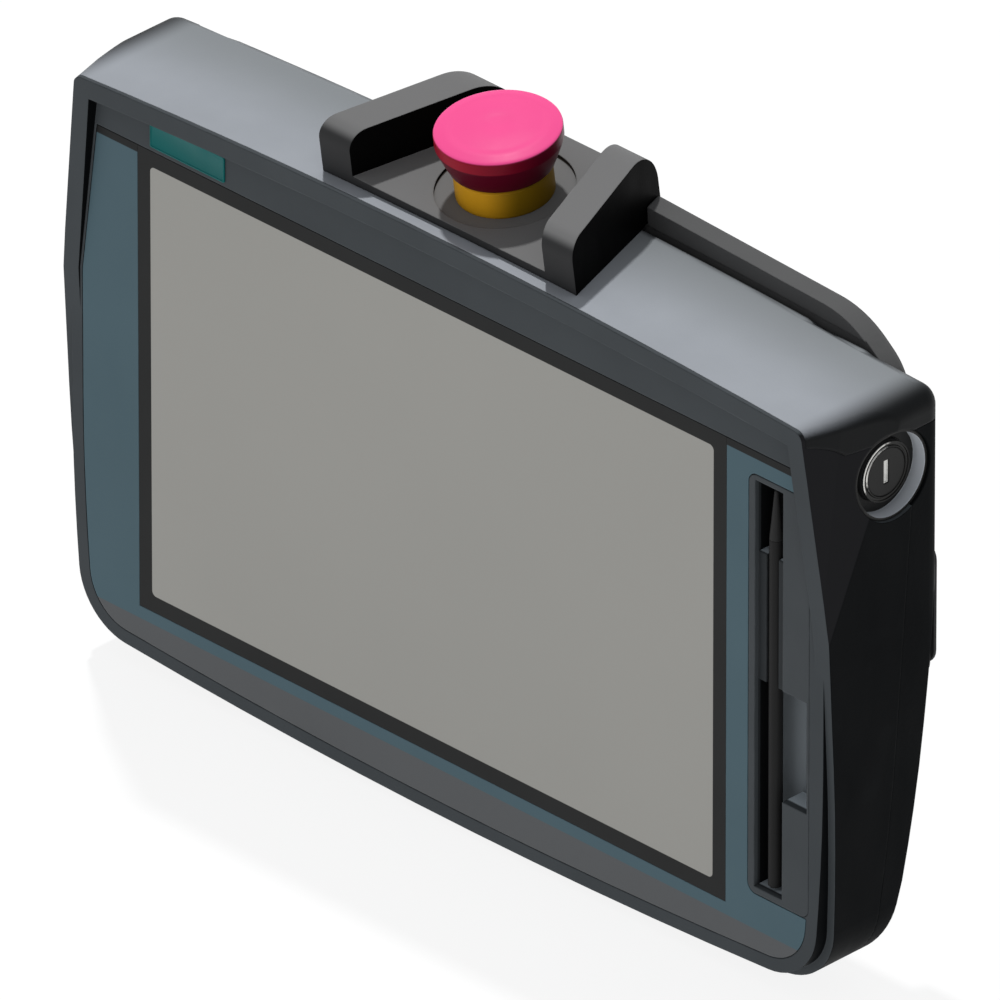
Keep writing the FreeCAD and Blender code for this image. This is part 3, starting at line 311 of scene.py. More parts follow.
def machined(name, colour, roughness=0.3, stretch=(1.0, 1.0, 30.0)):
    """Machined or drawn metal: fine tool lines, tarnish in patches."""
    finish, tree, shader, place = start_finish(name, roughness, metallic=1.0)
    tarnish = spread(tree, cloud(tree, place, 120.0, 4.0), 0.4, 0.75)
    tree.links.new(blend_colours(tree, tarnish, shade_of(colour, 1.05), shade_of(colour, 0.72)),
                   shader.inputs["Base Color"])
    lines = cloud(tree, place, 900.0, 3.0, stretch=stretch)
    lined = spread(tree, lines, 0.3, 0.7, roughness - 0.08, roughness + 0.14)
    tree.links.new(lined, shader.inputs["Roughness"])
    grain(tree, shader, lines, 0.15, 0.06 * MM)
    return finish


TURNED = (0.35, 0.8)


def light_and_shade_by_facing(top, side, rear, outward=TURNED):
    """Painted light and shade on a moulding: its top, rear and sides each get a lit or shaded tone by the
    way they face, and its front keeps the base tone.
    outward says how far a surface turns to the side before its tone changes."""
    def paint(tree, place, tone):
        way = surface_way(tree)
        lumps = wander(tree, place, 60.0, 4.0, 0.985, 1.05)
        sideways = sum_up(tree, "ABSOLUTE", way[0])
        for lean, turn, colour in ((way[2], TURNED, top), (way[1], TURNED, rear),
                                   (sideways, outward, side)):
            share = sum_up(tree, "MULTIPLY", spread(tree, lean, *turn, smooth=True), lumps, clamp=True)
            tone = blend_colours(tree, share, tone, colour)
        return tone
    return paint


def shell_shade(tree, place, tone):
    """The front shell: grey face, painted shade near black on its walls and rear, and a little lighter
    painted shade on the facets between face and walls.
    """
    tone = light_and_shade_by_facing(FRONT_GREY, WALL_SHADE_BLACK, WALL_SHADE_BLACK)(tree, place, tone)
    way = surface_way(tree)
    slanted = sum_up(tree, "MULTIPLY", spread(tree, way[1], -0.1, -0.22), spread(tree, way[1], -0.75, -0.6))
    outward = spread(tree, sum_up(tree, "ABSOLUTE", way[0]), 0.6, 0.75)
    return blend_colours(tree, sum_up(tree, "MULTIPLY", slanted, outward), tone, FACET_SHADE)


def deck_shade(tree, place, tone):
    """The deck's light top, with painted shade growing towards its rear, painted shade on its rear edge, and
    painted shade round its ends that runs into the walls' near black.
    """
    way = surface_way(tree)
    upward = spread(tree, way[2], 0.2, 0.9, smooth=True)
    rearward = spread(tree, way[1], 0.15, 0.6, smooth=True)
    parts = place_parts(tree, place)
    away = sum_up(tree, "ABSOLUTE", parts[0])
    outward = spread(tree, away, DECK_END * MM, WALL_START * MM, 0.0, 0.99, smooth=True)
    depth = spread(tree, parts[1], depth_of(DECK_FRONT), depth_of(DECK_BEHIND), smooth=True)
    # Painted shade: darker towards the rear, on the rear edge, and over the rounded ends.
    tone = blend_colours(tree, depth, tone, DECK_BACK_SHADE)
    tone = blend_colours(tree, upward, WALL_SHADE_BLACK, tone)
    tone = blend_colours(tree, rearward, tone, DECK_REAR_SHADE)
    return blend_colours(tree, outward, tone, WALL_SHADE_BLACK)


def tray_shade(tree, place, tone):
    """The tray's face in the plate's grey, with painted shade in the pen's slot and on its sunk cheek,
    except behind the scoop, where the floor has painted light, and painted light on the ledge at the slot's
    foot.
    """
    parts = place_parts(tree, place)
    sunk = spread(tree, parts[1], depth_of(CHEEK_DEPTH - 0.1), depth_of(CHEEK_DEPTH + 0.1), 0.0, 0.55)
    deep = spread(tree, parts[1], depth_of(SLOT_DEPTH - 0.3), depth_of(SLOT_DEPTH + 0.3))
    inside = spread(tree, parts[0], (SLOT_RIGHT + 0.15) * MM, (SLOT_RIGHT - 0.15) * MM)
    dark = sum_up(tree, "MULTIPLY", sum_up(tree, "MAXIMUM", sunk, deep), inside)
    from_middle = sum_up(tree, "ABSOLUTE", sum_up(tree, "SUBTRACT", parts[2], level_of(SCOOP_LEVEL)))
    scooped = spread(tree, from_middle, (SCOOP_REACH + 0.15) * MM, (SCOOP_REACH - 0.15) * MM)
    bottom = spread(tree, parts[1], depth_of(SCOOP_FLOOR - 0.4), depth_of(SCOOP_FLOOR + 0.4))
    # Painted light on the scoop's floor, and painted shade in the slot elsewhere.
    lit = sum_up(tree, "MULTIPLY", scooped, bottom)
    dark = sum_up(tree, "SUBTRACT", dark, lit, clamp=True)
    tone = blend_colours(tree, lit, tone, shade_of(FRONT_GREY, 2.5))
    tone = blend_colours(tree, dark, tone, SLOT_SHADE)
    # Painted light on the ledge at the slot's foot.
    ledge = sum_up(tree, "MULTIPLY", spread(tree, surface_way(tree)[2], 0.5, 0.8), deep)
    return blend_colours(tree, ledge, tone, shade_of(FRONT_GREY, 7.5))


def knob_shade(tree, place, tone):
    """The knob's bright red crown, with painted shade in deep crimson on its side, and painted light on the
    brow on the side towards the lamp.
    """
    way = surface_way(tree)
    brow = spread(tree, way[2], -0.3, -0.16)
    towards = spread(tree, sum_up(tree, "ADD", way[0], way[1]), 0.9, -0.9)
    side = blend_colours(tree, sum_up(tree, "MULTIPLY", brow, towards), KNOB_SHADED_SIDE, KNOB_LIT_BROW)
    crown = spread(tree, way[2], 0.2, 0.72, smooth=True)
    return blend_colours(tree, crown, side, tone)


def collar_shade(tree, place, tone):
    """The collar's yellow, with painted shade on the side away from the lamp."""
    way = surface_way(tree)
    away = spread(tree, sum_up(tree, "ADD", way[0], way[1]), -0.6, 0.5, smooth=True)
    return blend_colours(tree, away, tone, COLLAR_SHADE)


def cup_shade(tree, place, tone):
    """The key recess: light grey wall, and painted shade on the floor, which faces sideways."""
    inward = spread(tree, sum_up(tree, "ABSOLUTE", surface_way(tree)[0]), 0.55, 0.8)
    return blend_colours(tree, inward, tone, DARK_ENAMEL_AND_FLOOR_SHADE)


def foil_print(tree, place, tone):
    """The foil's printed fields: a dark band at the head, a grey strip along the base."""
    level = place_parts(tree, place)[2]
    above = spread(tree, level, level_of(FOIL_HEAD - PRINT_BLUR), level_of(FOIL_HEAD + PRINT_BLUR))
    below = spread(tree, level, level_of(FOIL_FOOT + PRINT_BLUR), level_of(FOIL_FOOT - PRINT_BLUR))
    tone = blend_colours(tree, above, tone, FOIL_DARK)
    return blend_colours(tree, below, tone, FOIL_STRIP)


def field(tree, place, centre, half, corner):
    """1 inside a rounded field on the front, 0 outside it. Centre and half sizes in millimetres."""
    parts = place_parts(tree, place)
    runs = []
    for axis, middle, reach in ((0, centre[0], half[0]), (2, centre[1] - ORIGIN_LEVEL, half[1])):
        away = sum_up(tree, "ABSOLUTE", sum_up(tree, "SUBTRACT", parts[axis], middle * MM))
        over = sum_up(tree, "MAXIMUM", sum_up(tree, "SUBTRACT", away, (reach - corner) * MM), 0.0)
        runs.append(sum_up(tree, "MULTIPLY", over, over))
    gone = sum_up(tree, "SQRT", sum_up(tree, "ADD", runs[0], runs[1]))
    blur = 0.75 * PRINT_BLUR
    return spread(tree, gone, (corner + blur) * MM, (corner - blur) * MM)


def touch_display():
    """Touch glass with the printed black mask round the switched-off display."""
    finish, tree, shader, place = start_finish("touch_display", 0.36, 0.06)
    lit = field(tree, place, DISPLAY_MIDDLE, DISPLAY_HALF, DISPLAY_CORNER)
    screen = mottled(tree, place, SCREEN_GREY, 0.018, 9.0)
    mask = mottled(tree, place, MASK_BLACK, 0.06, 40.0)
    tree.links.new(blend_colours(tree, lit, mask, screen), shader.inputs["Base Color"])
    smears = cloud(tree, place, 16.0, 5.0, stretch=(1.0, 1.0, 0.6), rough=0.6)
    tree.links.new(spread(tree, smears, 0.35, 0.7, 0.3, 0.42), shader.inputs["Roughness"])
    shader.inputs["Coat Weight"].default_value = 0.02
    shader.inputs["Coat Roughness"].default_value = 0.2
    grain(tree, shader, cloud(tree, place, 3000.0, 1.0), 0.05, 0.02 * MM)
    return finish


FINISHES = {
    "top_cover": moulded("deck_plastic", DECK_GREY, 0.45, 0.12, paint=deck_shade),
    "front_shell": moulded("front_plastic", FRONT_GREY, 0.5, 0.02, paint=shell_shade),
    # The rear shell is in the walls' painted shade all over, with a lighter painted shade on its rear faces.
    "rear_shell": moulded("rear_plastic", WALL_SHADE_BLACK, 0.6, 0.03, pitting=0.4, pitch=900.0,
                          paint=light_and_shade_by_facing(WALL_SHADE_BLACK, WALL_SHADE_BLACK, REAR_FACE_SHADE)),
    # Painted light on the grip's top, painted shade near black on its sides, and a dark painted shade on its
    # rear.
    "rear_grip": moulded("grip_plastic", GRIP_GREY, 0.65, 0.06, pitting=0.6, pitch=700.0,
                         paint=light_and_shade_by_facing(GRIP_TOP_LIT, WALL_SHADE_BLACK, GRIP_REAR_SHADE, (0.8, 0.97))),
    "front_foil": moulded("foil_print", FOIL_BLUE, 0.45, 0.04, pitting=0.12, pitch=2600.0, uneven=0.03,
                          edge=0.3, paint=foil_print),
    "touch_glass": touch_display(),
    "stylus_tray": moulded("tray_plastic", FRONT_GREY, 0.55, 0.06, paint=tray_shade),
    "stylus_barrel": moulded("stylus_plastic", STYLUS_BLACK, 0.42, 0.06),
    "stylus_tip": moulded("stylus_tip_plastic", STYLUS_TIP, 0.35, 0.06),
    # Painted light on the guard's tops and painted shade near black on its sides.
    "estop_guard": moulded("guard_plastic", GUARD_GREY, 0.5, 0.02,
                           paint=light_and_shade_by_facing(GUARD_TOP_LIT, GUARD_SIDE_SHADE, GUARD_GREY)),
    "estop_collar": moulded("collar_yellow", COLLAR_YELLOW, 0.45, 0.1, paint=collar_shade),
    "estop_knob": moulded("knob_red", KNOB_RED, 0.35, 0.07, pitting=0.06, uneven=0.03, paint=knob_shade),
    "estop_shaft": moulded("shaft_plastic", (0.05, 0.05, 0.05)),
    "estop_barrel": moulded("barrel_plastic", (0.04, 0.04, 0.04)),
    "estop_nut": moulded("ring_nut_plastic", (0.03, 0.03, 0.03)),
    "estop_contact_block": moulded("contact_plastic", (0.10, 0.10, 0.10)),
    "key_contact_block": moulded("key_contact_plastic", (0.10, 0.10, 0.10)),
    "estop_spring": machined("spring_steel", SPRING_GREY),
    "enabling_spring": machined("button_spring_steel", SPRING_GREY),
    "key_cup": moulded("cup_plastic", CUP_GREY, 0.45, 0.12, paint=cup_shade),
    "key_lock_body": moulded("lock_enamel", DARK_ENAMEL_AND_FLOOR_SHADE, 0.4, 0.1),
    "key_nut": machined("key_nut_steel", (0.5, 0.5, 0.5)),
    "key_cylinder": moulded("cylinder_enamel", DARK_ENAMEL_AND_FLOOR_SHADE, 0.4, 0.1),
    "enabling_button": rubber("button_rubber", BUTTON_BLACK),
    "enabling_switch": moulded("switch_plastic", (0.03, 0.03, 0.03)),
    "housing_seal": rubber("seal_rubber", (0.02, 0.02, 0.02)),
    "housing_screws": machined("screw_steel", (0.16, 0.16, 0.165), 0.35),
    "lid_screws": machined("lid_screw_steel", (0.45, 0.45, 0.46), 0.3),
    "display_module": machined("module_steel", (0.5, 0.5, 0.5)),
    "display_bracket": machined("bracket_steel", (0.55, 0.55, 0.55)),
    "main_board": moulded("board_green", (0.01, 0.09, 0.03), 0.35),
    "board_standoffs": machined("standoff_brass", (0.7, 0.5, 0.2)),
    "board_components": moulded("component_plastic", (0.02, 0.02, 0.02)),
    "connection_lid": moulded("lid_plastic", LID_BLACK, 0.6, 0.25, pitting=0.4, pitch=900.0),
    "cable_inlet": moulded("inlet_plastic", INLET_BLACK, 0.45, 0.35),
    "inlet_nut": moulded("inlet_nut_plastic", INLET_BLACK, 0.45, 0.35),
}
for name, finish in FINISHES.items():
    for slot in nodes[name].material_slots:
        slot.material = finish

# Pieces modelled by hand, in millimetres
SMOOTH_UP_TO = math.radians(38)
SOFTENED_FROM = math.radians(32)


def begin(name, add, **size):
    """Add a primitive by itself, in place, and open it for editing with nothing selected."""
    bpy.ops.object.select_all(action="DESELECT")
    add(**size)
    piece = bpy.context.object
    piece.name = name
    piece.data.name = name
    bpy.ops.object.transform_apply(location=True, rotation=True, scale=True)
    bpy.ops.object.mode_set(mode="EDIT")
    bpy.ops.mesh.select_mode(type="FACE")
    bpy.ops.mesh.select_all(action="DESELECT")
    return piece


def begin_round(name, radius, low, high, sides=96):
    """A round bar along Z, in millimetres, opened for editing."""
    return begin(name, bpy.ops.mesh.primitive_cylinder_add, vertices=sides, radius=radius * MM,
                 depth=(high - low) * MM, location=(0, 0, (low + high) / 2 * MM))


def begin_block(name, width, length, low, high):
    """A block round the Z axis, in millimetres, opened for editing."""
    return begin(name, bpy.ops.mesh.primitive_cube_add, size=1.0, location=(0, 0, (low + high) / 2 * MM),
                 scale=(width * MM, length * MM, (high - low) * MM))


def pick_faces(piece, test):
    """Select the faces whose middle and normal pass a test, and no others."""
    bpy.ops.mesh.select_mode(type="FACE")
    bpy.ops.mesh.select_all(action="DESELECT")
    mesh = bmesh.from_edit_mesh(piece.data)
    for face in mesh.faces:
        face.select_set(test(face.calc_center_median(), face.normal))
    bmesh.update_edit_mesh(piece.data)


def pick_edges(piece, test):
    """Select the edges whose middle and direction pass a test, and no others."""
    bpy.ops.mesh.select_mode(type="EDGE")
    bpy.ops.mesh.select_all(action="DESELECT")
    mesh = bmesh.from_edit_mesh(piece.data)
    for edge in mesh.edges:
        first, second = (vert.co for vert in edge.verts)
        edge.select_set(test((first + second) / 2, (second - first).normalized()))
    bmesh.update_edit_mesh(piece.data)


def pick_top(piece):
    """Select the end that faces up the Z axis."""
    pick_faces(piece, lambda middle, normal: normal.z > 0.99)


def pick_foot(piece):
    """Select the end that faces down the Z axis."""
    pick_faces(piece, lambda middle, normal: normal.z < -0.99)


def lift(distance):
    """Extrude what is selected along Z, in millimetres."""
    bpy.ops.mesh.extrude_region_move(TRANSFORM_OT_translate={"value": (0, 0, distance * MM)})


def carry(start, rings):
    """Carry the selected round end on through rings of radius and height, in millimetres."""
    radius, height = start
    for new_radius, new_height in rings:
        lift(new_height - height)
        share = new_radius / radius
        bpy.ops.transform.resize(value=(share, share, 1.0), center_override=(0, 0, new_height * MM))
        radius, height = new_radius, new_height


def widen(across, along, shift=0.0):
    """Extrude the selected end in its own plane, by a share of its size each way round a point on Y."""
    lift(0)
    bpy.ops.transform.resize(value=(across, along, 1.0), center_override=(0, shift * MM, 0))


def close_edit(piece, softened=0.0, segments=2):
    """Leave editing, with the faces turned outwards and the sharp edges softened by that many mm."""
    bpy.ops.mesh.select_all(action="SELECT")
    bpy.ops.mesh.normals_make_consistent(inside=False)
    bpy.ops.object.mode_set(mode="OBJECT")
    if softened:
        rounding = piece.modifiers.new("softened_edges", "BEVEL")
        rounding.width = softened * MM
        rounding.segments = segments
        rounding.limit_method = "ANGLE"
        rounding.angle_limit = SOFTENED_FROM
        bpy.ops.object.modifier_apply(modifier=rounding.name)
    bpy.ops.object.shade_smooth_by_angle(angle=SMOOTH_UP_TO)


def copy_to(piece, name, place, turn=(0.0, 0.0, 0.0)):
    """A copy of a finished piece with its own mesh, at a place and turned."""
    bpy.ops.object.select_all(action="DESELECT")
    twin = piece.copy()
    twin.data = piece.data.copy()
    twin.name = name
    bpy.context.scene.collection.objects.link(twin)
    settle(twin, place, turn)
    return twin


def settle(piece, place, turn=(0.0, 0.0, 0.0)):
    """Put a piece in its place, and write that place into its mesh."""
    bpy.ops.object.select_all(action="DESELECT")
    piece.select_set(True)
    bpy.context.view_layer.objects.active = piece
    piece.location = place
    piece.rotation_euler = turn
    bpy.ops.object.transform_apply(location=True, rotation=True, scale=True)


def gather(pieces, name):
    """Join pieces into one."""
    bpy.ops.object.select_all(action="DESELECT")
    for piece in pieces:
        piece.select_set(True)
    bpy.context.view_layer.objects.active = pieces[0]
    bpy.ops.object.join()
    pieces[0].name = name
    pieces[0].data.name = name
    return pieces[0]


def hand_over(piece, body, finish, stands_for=None):
    """Give a piece its finish and the body that it moves with."""
    piece.data.materials.clear()
    piece.data.materials.append(finish)
    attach(piece, body)
    if stands_for:
        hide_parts(stands_for)


def round_corners(piece, radius, segments):
    """Round the upright edges of a block."""
    pick_edges(piece, lambda middle, way: abs(way.z) > 0.9)
    bpy.ops.mesh.bevel(offset=radius * MM, segments=segments)


def sink_top(piece, border, depth):
    """Sink the top of a piece inside a border."""
    pick_top(piece)
    bpy.ops.mesh.inset(thickness=border * MM)
    lift(-depth)


def add_ribs(piece, rib, pitch, shift=0.0):
    """Lay nine copies of a rib across a piece, at a pitch along Y, and join them to it."""
    name = piece.name
    ribs = [copy_to(rib, "rib_copy", Vector((0, (shift + step * pitch) * MM, 0))) for step in range(-4, 5)]
    bpy.data.objects.remove(rib)
    return gather([piece] + ribs, name)


def stop_knob():
    """Mushroom knob: hollow below, conical side, crisp brow, and a domed crown with a faint ring and eye."""
    radius, brow_foot, brow_head = 17.85, 16.4, 18.9
    piece = begin_round("stop_knob", radius, brow_foot, brow_head)
    pick_top(piece)
    brow = [(radius, 19.2), (17.74, 19.55), (17.5, 19.8), (17.2, 19.93)]
    crown = [(16.6, 20.1), (15.2, 20.5), (13.6, 20.88)]
    ring = [(13.35, 20.84), (12.0, 21.08), (8.0, 21.52)]
    eye = [(3.6, 21.76), (3.35, 21.7), (1.6, 21.72)]
    carry((radius, brow_head), brow + crown + ring + eye)
    pick_foot(piece)
    cone = [(radius, 16.1), (17.76, 15.8), (17.6, 15.4), (16.25, 11.9), (14.75, 8.4), (14.6, 8.2)]
    hollow = [(14.1, 8.2), (14.1, 13.2), (10.0, 13.2)]
    hub = [(10.0, 2.0), (4.05, 2.0), (4.05, 8.2)]
    carry((radius, brow_foot), cone + hollow + hub)
    close_edit(piece, softened=0.12)
    settle(piece, STOP_SEAT, LEANING)
    hand_over(piece, "estop_head", FINISHES["estop_knob"], "estop_knob")


def badge_plate():
    """Small blank plate with a raised border, on the plate above the display."""
    piece = begin_block("badge_plate", width=28.9, length=8.0, low=0.0, high=0.5)
    round_corners(piece, radius=0.5, segments=4)
    sink_top(piece, border=0.45, depth=0.12)
    close_edit(piece, softened=0.06)
    settle(piece, BADGE_SEAT, TO_FRONT)
    hand_over(piece, "housing", moulded("badge_teal", BADGE_TEAL, 0.4, 0.1, pitting=0.1))


def ring_steel():
    """Lock rings: enamelled dark, with a painted highlight on the crests over the upper front half."""
    finish, tree, shader, place = start_finish("ring_steel_painted_highlight", 0.3, 0.3, metallic=1.0)
    parts = place_parts(tree, place)
    forward = sum_up(tree, "SUBTRACT", KEY_SEAT.y, parts[1])
    upward = sum_up(tree, "SUBTRACT", parts[2], KEY_SEAT.z)
    bright = sum_up(tree, "ADD", forward, sum_up(tree, "MULTIPLY", upward, 0.75))
    fray = wander(tree, place, 700.0, 3.0, -1.5 * MM, 1.5 * MM)
    ragged = sum_up(tree, "ADD", bright, fray)
    highlit = spread(tree, ragged, 4.5 * MM, 8.5 * MM, smooth=True)
    crest = spread(tree, parts[0], KEY_SEAT.x + 0.08 * MM, KEY_SEAT.x + 0.24 * MM)
    share = sum_up(tree, "MULTIPLY", highlit, crest)
    tree.links.new(blend_colours(tree, share, shade_of(DARK_ENAMEL_AND_FLOOR_SHADE, 1.3), RING_HIGHLIGHT),
                   shader.inputs["Base Color"])
    tree.links.new(wander(tree, place, 900.0, 3.0, 0.24, 0.4), shader.inputs["Roughness"])
    grain(tree, shader, cloud(tree, place, 2400.0, 2.0), 0.12, 0.05 * MM)
    return finish


def lock_rings():
    """Two polished beads round the lock's turning face."""
    radius, foot, shoulder = 9.0, -0.3, 0.1
    piece = begin_round("lock_rings", radius, foot, shoulder)
    pick_top(piece)
    outer_bead = [(8.94, 0.32), (8.75, 0.4), (8.52, 0.34), (8.4, 0.06)]
    inner_bead = [(7.82, 0.04), (7.7, 0.3), (7.52, 0.4), (7.32, 0.34), (7.24, 0.2)]
    bore = [(7.24, foot)]
    carry((radius, shoulder), outer_bead + inner_bead + bore)
    pick_faces(piece, lambda middle, normal: abs(normal.z) > 0.99 and middle.z < (foot + 0.1) * MM)
    bpy.ops.mesh.delete(type="FACE")
    pick_edges(piece, lambda middle, way: middle.z < (foot + 0.01) * MM)
    bpy.ops.mesh.bridge_edge_loops()
    close_edit(piece)
    settle(piece, KEY_SEAT, TO_RIGHT)
    hand_over(piece, "housing", ring_steel())


def keyway_shutter():
    """Spring shutter that closes the keyway, with a shallow lead-in down its middle."""
    piece = begin_block("keyway_shutter", width=7.0, length=1.7, low=-1.0, high=0.02)
    sink_top(piece, border=0.35, depth=0.18)
    close_edit(piece, softened=0.08)
    settle(piece, KEY_SEAT, TO_RIGHT)
    hand_over(piece, "key_rotor",
              machined("shutter_steel", SHUTTER_GREY, 0.4, (30.0, 1.0, 1.0)))


def drive_screw(name, head_height, length):
    """Cap screw on its seat: plain head with a hexagon socket, over a shank with a short point."""
    head, shank, point = 3.0, 1.5, 1.1
    piece = begin_round(name, head, 0.0, head_height, sides=48)
    pick_foot(piece)
    carry((head, 0.0), [(shank, 0.0), (shank, 0.6 - length), (point, -length)])
    pick_top(piece)
    carry((head, head_height), [(2.9, head_height)])
    close_edit(piece, softened=0.15)
    socket = begin_round("socket", 1.35, head_height - 1.1, head_height + 1.0, sides=6)
    close_edit(socket)
    bpy.ops.object.select_all(action="DESELECT")
    bpy.context.view_layer.objects.active = piece
    piece.select_set(True)
    drive = piece.modifiers.new("socket", "BOOLEAN")
    drive.operation = "DIFFERENCE"
    drive.solver = "EXACT"
    drive.object = socket
    bpy.ops.object.modifier_apply(modifier=drive.name)
    bpy.data.objects.remove(socket)
    return piece


def screw_set(name, node, head_height, length, seats):
    """Copies of one screw on their seats, heads to the rear, in place of a node's screws."""
    screw = drive_screw(name + "_first", head_height, length)
    screws = [copy_to(screw, name, spot(*seat), TO_REAR) for seat in seats]
    bpy.data.objects.remove(screw)
    hand_over(gather(screws, name), "housing", FINISHES[node], node)


def enabling_paddle():
    """Enabling button: flange held in the grip, stem, and an overhanging ribbed thumb pad."""
    stem, flange, pad, pad_drop = (11.0, 28.0), (13.4, 30.4), (17.4, 39.4), 3.2
    piece = begin_block("enabling_paddle", *stem, low=48.8, high=53.1)
    round_corners(piece, radius=4.0, segments=7)
    pick_foot(piece)
    widen(flange[0] / stem[0], flange[1] / stem[1])
    lift(-1.6)
    pick_top(piece)
    widen(pad[0] / stem[0], pad[1] / stem[1])
    bpy.ops.transform.translate(value=(0, pad_drop * MM, 0))
    lift(1.1)
    for across, along, rise in ((0.93, 0.965, 0.5), (0.86, 0.92, -0.25)):
        widen(across, along, pad_drop)
        lift(rise)
    close_edit(piece, softened=0.35, segments=3)
    rib = begin_block("rib", width=12.4, length=1.5, low=54.2, high=55.1)
    pick_top(rib)
    widen(0.9, 0.5)
    lift(0.15)
    close_edit(rib, softened=0.2)
    piece = add_ribs(piece, rib, pitch=3.6, shift=pad_drop)
    settle(piece, BUTTON_SEAT, TO_REAR)
    hand_over(piece, "enabling_cap", FINISHES["enabling_button"], "enabling_button")


def return_spring():
    """The button's return spring, a rigid copy of the part's spring with its doubled points merged; the real
    one flattens on the switch as the button is pressed.
    """
    bpy.ops.object.select_all(action="DESELECT")
    piece = nodes["enabling_spring"].copy()
    piece.data = nodes["enabling_spring"].data.copy()
    piece.name = "button_return_spring"
    bpy.context.scene.collection.objects.link(piece)
    piece.select_set(True)
    bpy.context.view_layer.objects.active = piece
    bpy.ops.object.mode_set(mode="EDIT")
    bpy.ops.mesh.select_all(action="SELECT")
    bpy.ops.mesh.remove_doubles(threshold=0.001 * MM)
    bpy.ops.object.mode_set(mode="OBJECT")
    bpy.ops.object.shade_smooth_by_angle(angle=SMOOTH_UP_TO)
    hand_over(piece, "housing", FINISHES["enabling_spring"], "enabling_spring")
    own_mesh(piece)


def grip_pad():
    """Soft pad let on to the rear of the grip, with a raised border and cross ribs for the fingers."""
    piece = begin_block("grip_pad", width=76.0, length=74.0, low=50.6, high=51.5)
    round_corners(piece, radius=9.0, segments=9)
    sink_top(piece, border=2.4, depth=0.45)
    close_edit(piece, softened=0.25)
    rib = begin_block("pad_rib", width=58.0, length=2.8, low=50.9, high=51.45)
    round_corners(rib, radius=1.3, segments=5)
    pick_top(rib)
    widen(0.985, 0.62)
    lift(0.2)
    close_edit(rib, softened=0.12)
    piece = add_ribs(piece, rib, pitch=6.2)
    settle(piece, GRIP_SEAT, TO_REAR)
    hand_over(piece, "housing", rubber("pad_rubber", PAD_BLACK))


def inlet_gland():
    """Cable inlet: notched flange, sealing cone and a bore through its stem."""
    flange, flange_foot, flange_head = 9.5, 30.0, 31.6
    stem, stem_foot, bore = 7.0, 18.0, 3.5
    notch = math.pi / 18
    piece = begin_round("inlet_gland", flange, flange_foot, flange_head, sides=72)
    pick_faces(piece, lambda middle, normal: abs(normal.z) < 0.1
               and math.atan2(middle.y, middle.x) % (2 * notch) < notch)
    bpy.ops.mesh.extrude_region_shrink_fatten(TRANSFORM_OT_shrink_fatten={"value": -0.5 * MM})
    pick_top(piece)
    lip = [(9.1, 32.0), (7.2, 32.0), (6.8, 31.5)]
    cone = [(5.0, 31.2), (4.2, 31.5), (bore, 31.3), (bore, stem_foot)]
    carry((flange, flange_head), lip + cone)
    pick_foot(piece)
    carry((flange, flange_foot), [(stem, flange_foot), (stem, 18.4), (6.7, stem_foot), (bore, stem_foot)])
    pick_faces(piece, lambda middle, normal: abs(normal.z) > 0.99 and middle.z < (stem_foot + 0.2) * MM
               and middle.xy.length < 0.5 * MM)
    bpy.ops.mesh.delete(type="FACE")
    bpy.ops.mesh.select_all(action="SELECT")
    bpy.ops.mesh.remove_doubles(threshold=0.01 * MM)
    close_edit(piece)
    settle(piece, INLET_SEAT, TO_REAR)
    hand_over(piece, "housing", FINISHES["cable_inlet"], "cable_inlet")


stop_knob()
badge_plate()
lock_rings()
keyway_shutter()
screw_set("housing_cap_screws", "housing_screws", head_height=2.6, length=12.0, seats=HOUSING_SEATS)
screw_set("lid_cap_screws", "lid_screws", head_height=1.6, length=2.5, seats=LID_SEATS)
enabling_paddle()
return_spring()
grip_pad()
inlet_gland()

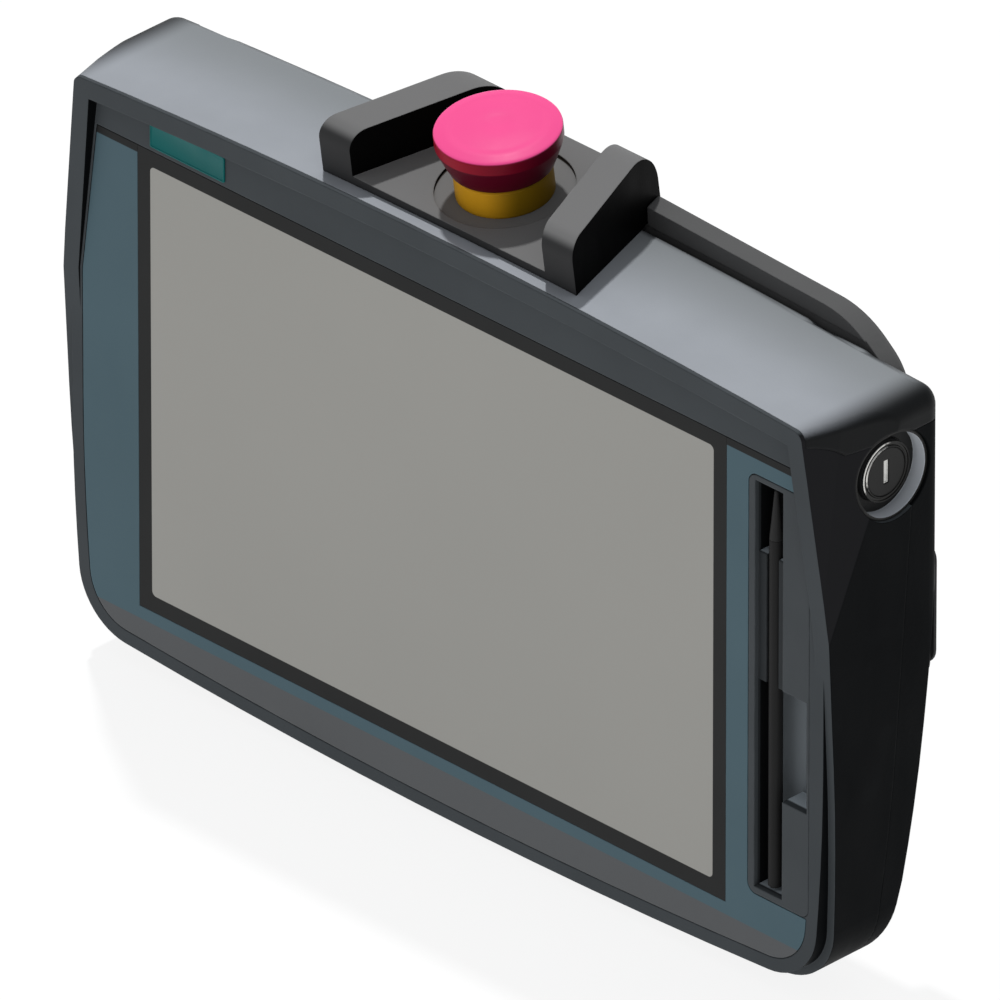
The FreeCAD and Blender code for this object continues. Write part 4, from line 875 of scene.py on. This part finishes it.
# Stage: pale lit floor, light from above on the left, and the camera at the photograph's angle, which is
# turned to the right and raised.
FLOOR_LEVEL = level_of(-94.2)
FLOOR_WIDTH = 80.0
FLOOR_GLOW = 0.87
ROOM_COLOUR = (0.95, 0.97, 1.0, 1.0)
ROOM_LIGHT = 0.45
LAMP_LIGHT = 2.1
LAMP_WIDTH = math.radians(3)
LAMP_WAY = Vector((0.39, -0.26, -1.0))
LENS = 1500.0
SENSOR_WIDTH = 36.0
FRAME_WIDTH = 0.27285
VIEW_TURN, VIEW_RISE = math.radians(45), math.radians(30)
VIEW_MIDDLE = spot(1.3, 20, 1.3)

bpy.ops.object.select_all(action="DESELECT")
bpy.ops.mesh.primitive_plane_add(size=FLOOR_WIDTH, location=(0, 0, FLOOR_LEVEL))
floor = bpy.context.object
floor.name = "floor"
paper, tree, shader, place = start_finish("pale_paper", 0.85, 0.05)
tree.links.new(mottled(tree, place, PAPER_GREY, 0.01, 3.0), shader.inputs["Base Color"])
shader.inputs["Emission Color"].default_value = (1.0, 1.0, 1.0, 1.0)
shader.inputs["Emission Strength"].default_value = FLOOR_GLOW
floor.data.materials.append(paper)

world = bpy.data.worlds.new("soft_room")
world.use_nodes = True
world.node_tree.nodes["Background"].inputs["Color"].default_value = ROOM_COLOUR
world.node_tree.nodes["Background"].inputs["Strength"].default_value = ROOM_LIGHT
bpy.context.scene.world = world

lamp_data = bpy.data.lights.new("overhead_lamp", "SUN")
lamp_data.energy = LAMP_LIGHT
lamp_data.angle = LAMP_WIDTH
lamp = bpy.data.objects.new("overhead_lamp", lamp_data)
lamp.rotation_euler = LAMP_WAY.to_track_quat("-Z", "Y").to_euler()
bpy.context.scene.collection.objects.link(lamp)

camera_data = bpy.data.cameras.new("camera")
camera_data.lens = LENS
camera_data.sensor_width = SENSOR_WIDTH
camera_data.clip_end = 200.0
camera = bpy.data.objects.new("camera", camera_data)
view_back = Vector((math.cos(VIEW_RISE) * math.sin(VIEW_TURN), -math.cos(VIEW_RISE) * math.cos(VIEW_TURN),
                    math.sin(VIEW_RISE)))
camera.location = VIEW_MIDDLE + view_back * (FRAME_WIDTH * LENS / SENSOR_WIDTH)
camera.rotation_euler = (-view_back).to_track_quat("-Z", "Y").to_euler()
bpy.context.scene.collection.objects.link(camera)
bpy.context.scene.camera = camera
bpy.context.scene.view_settings.view_transform = "Standard"
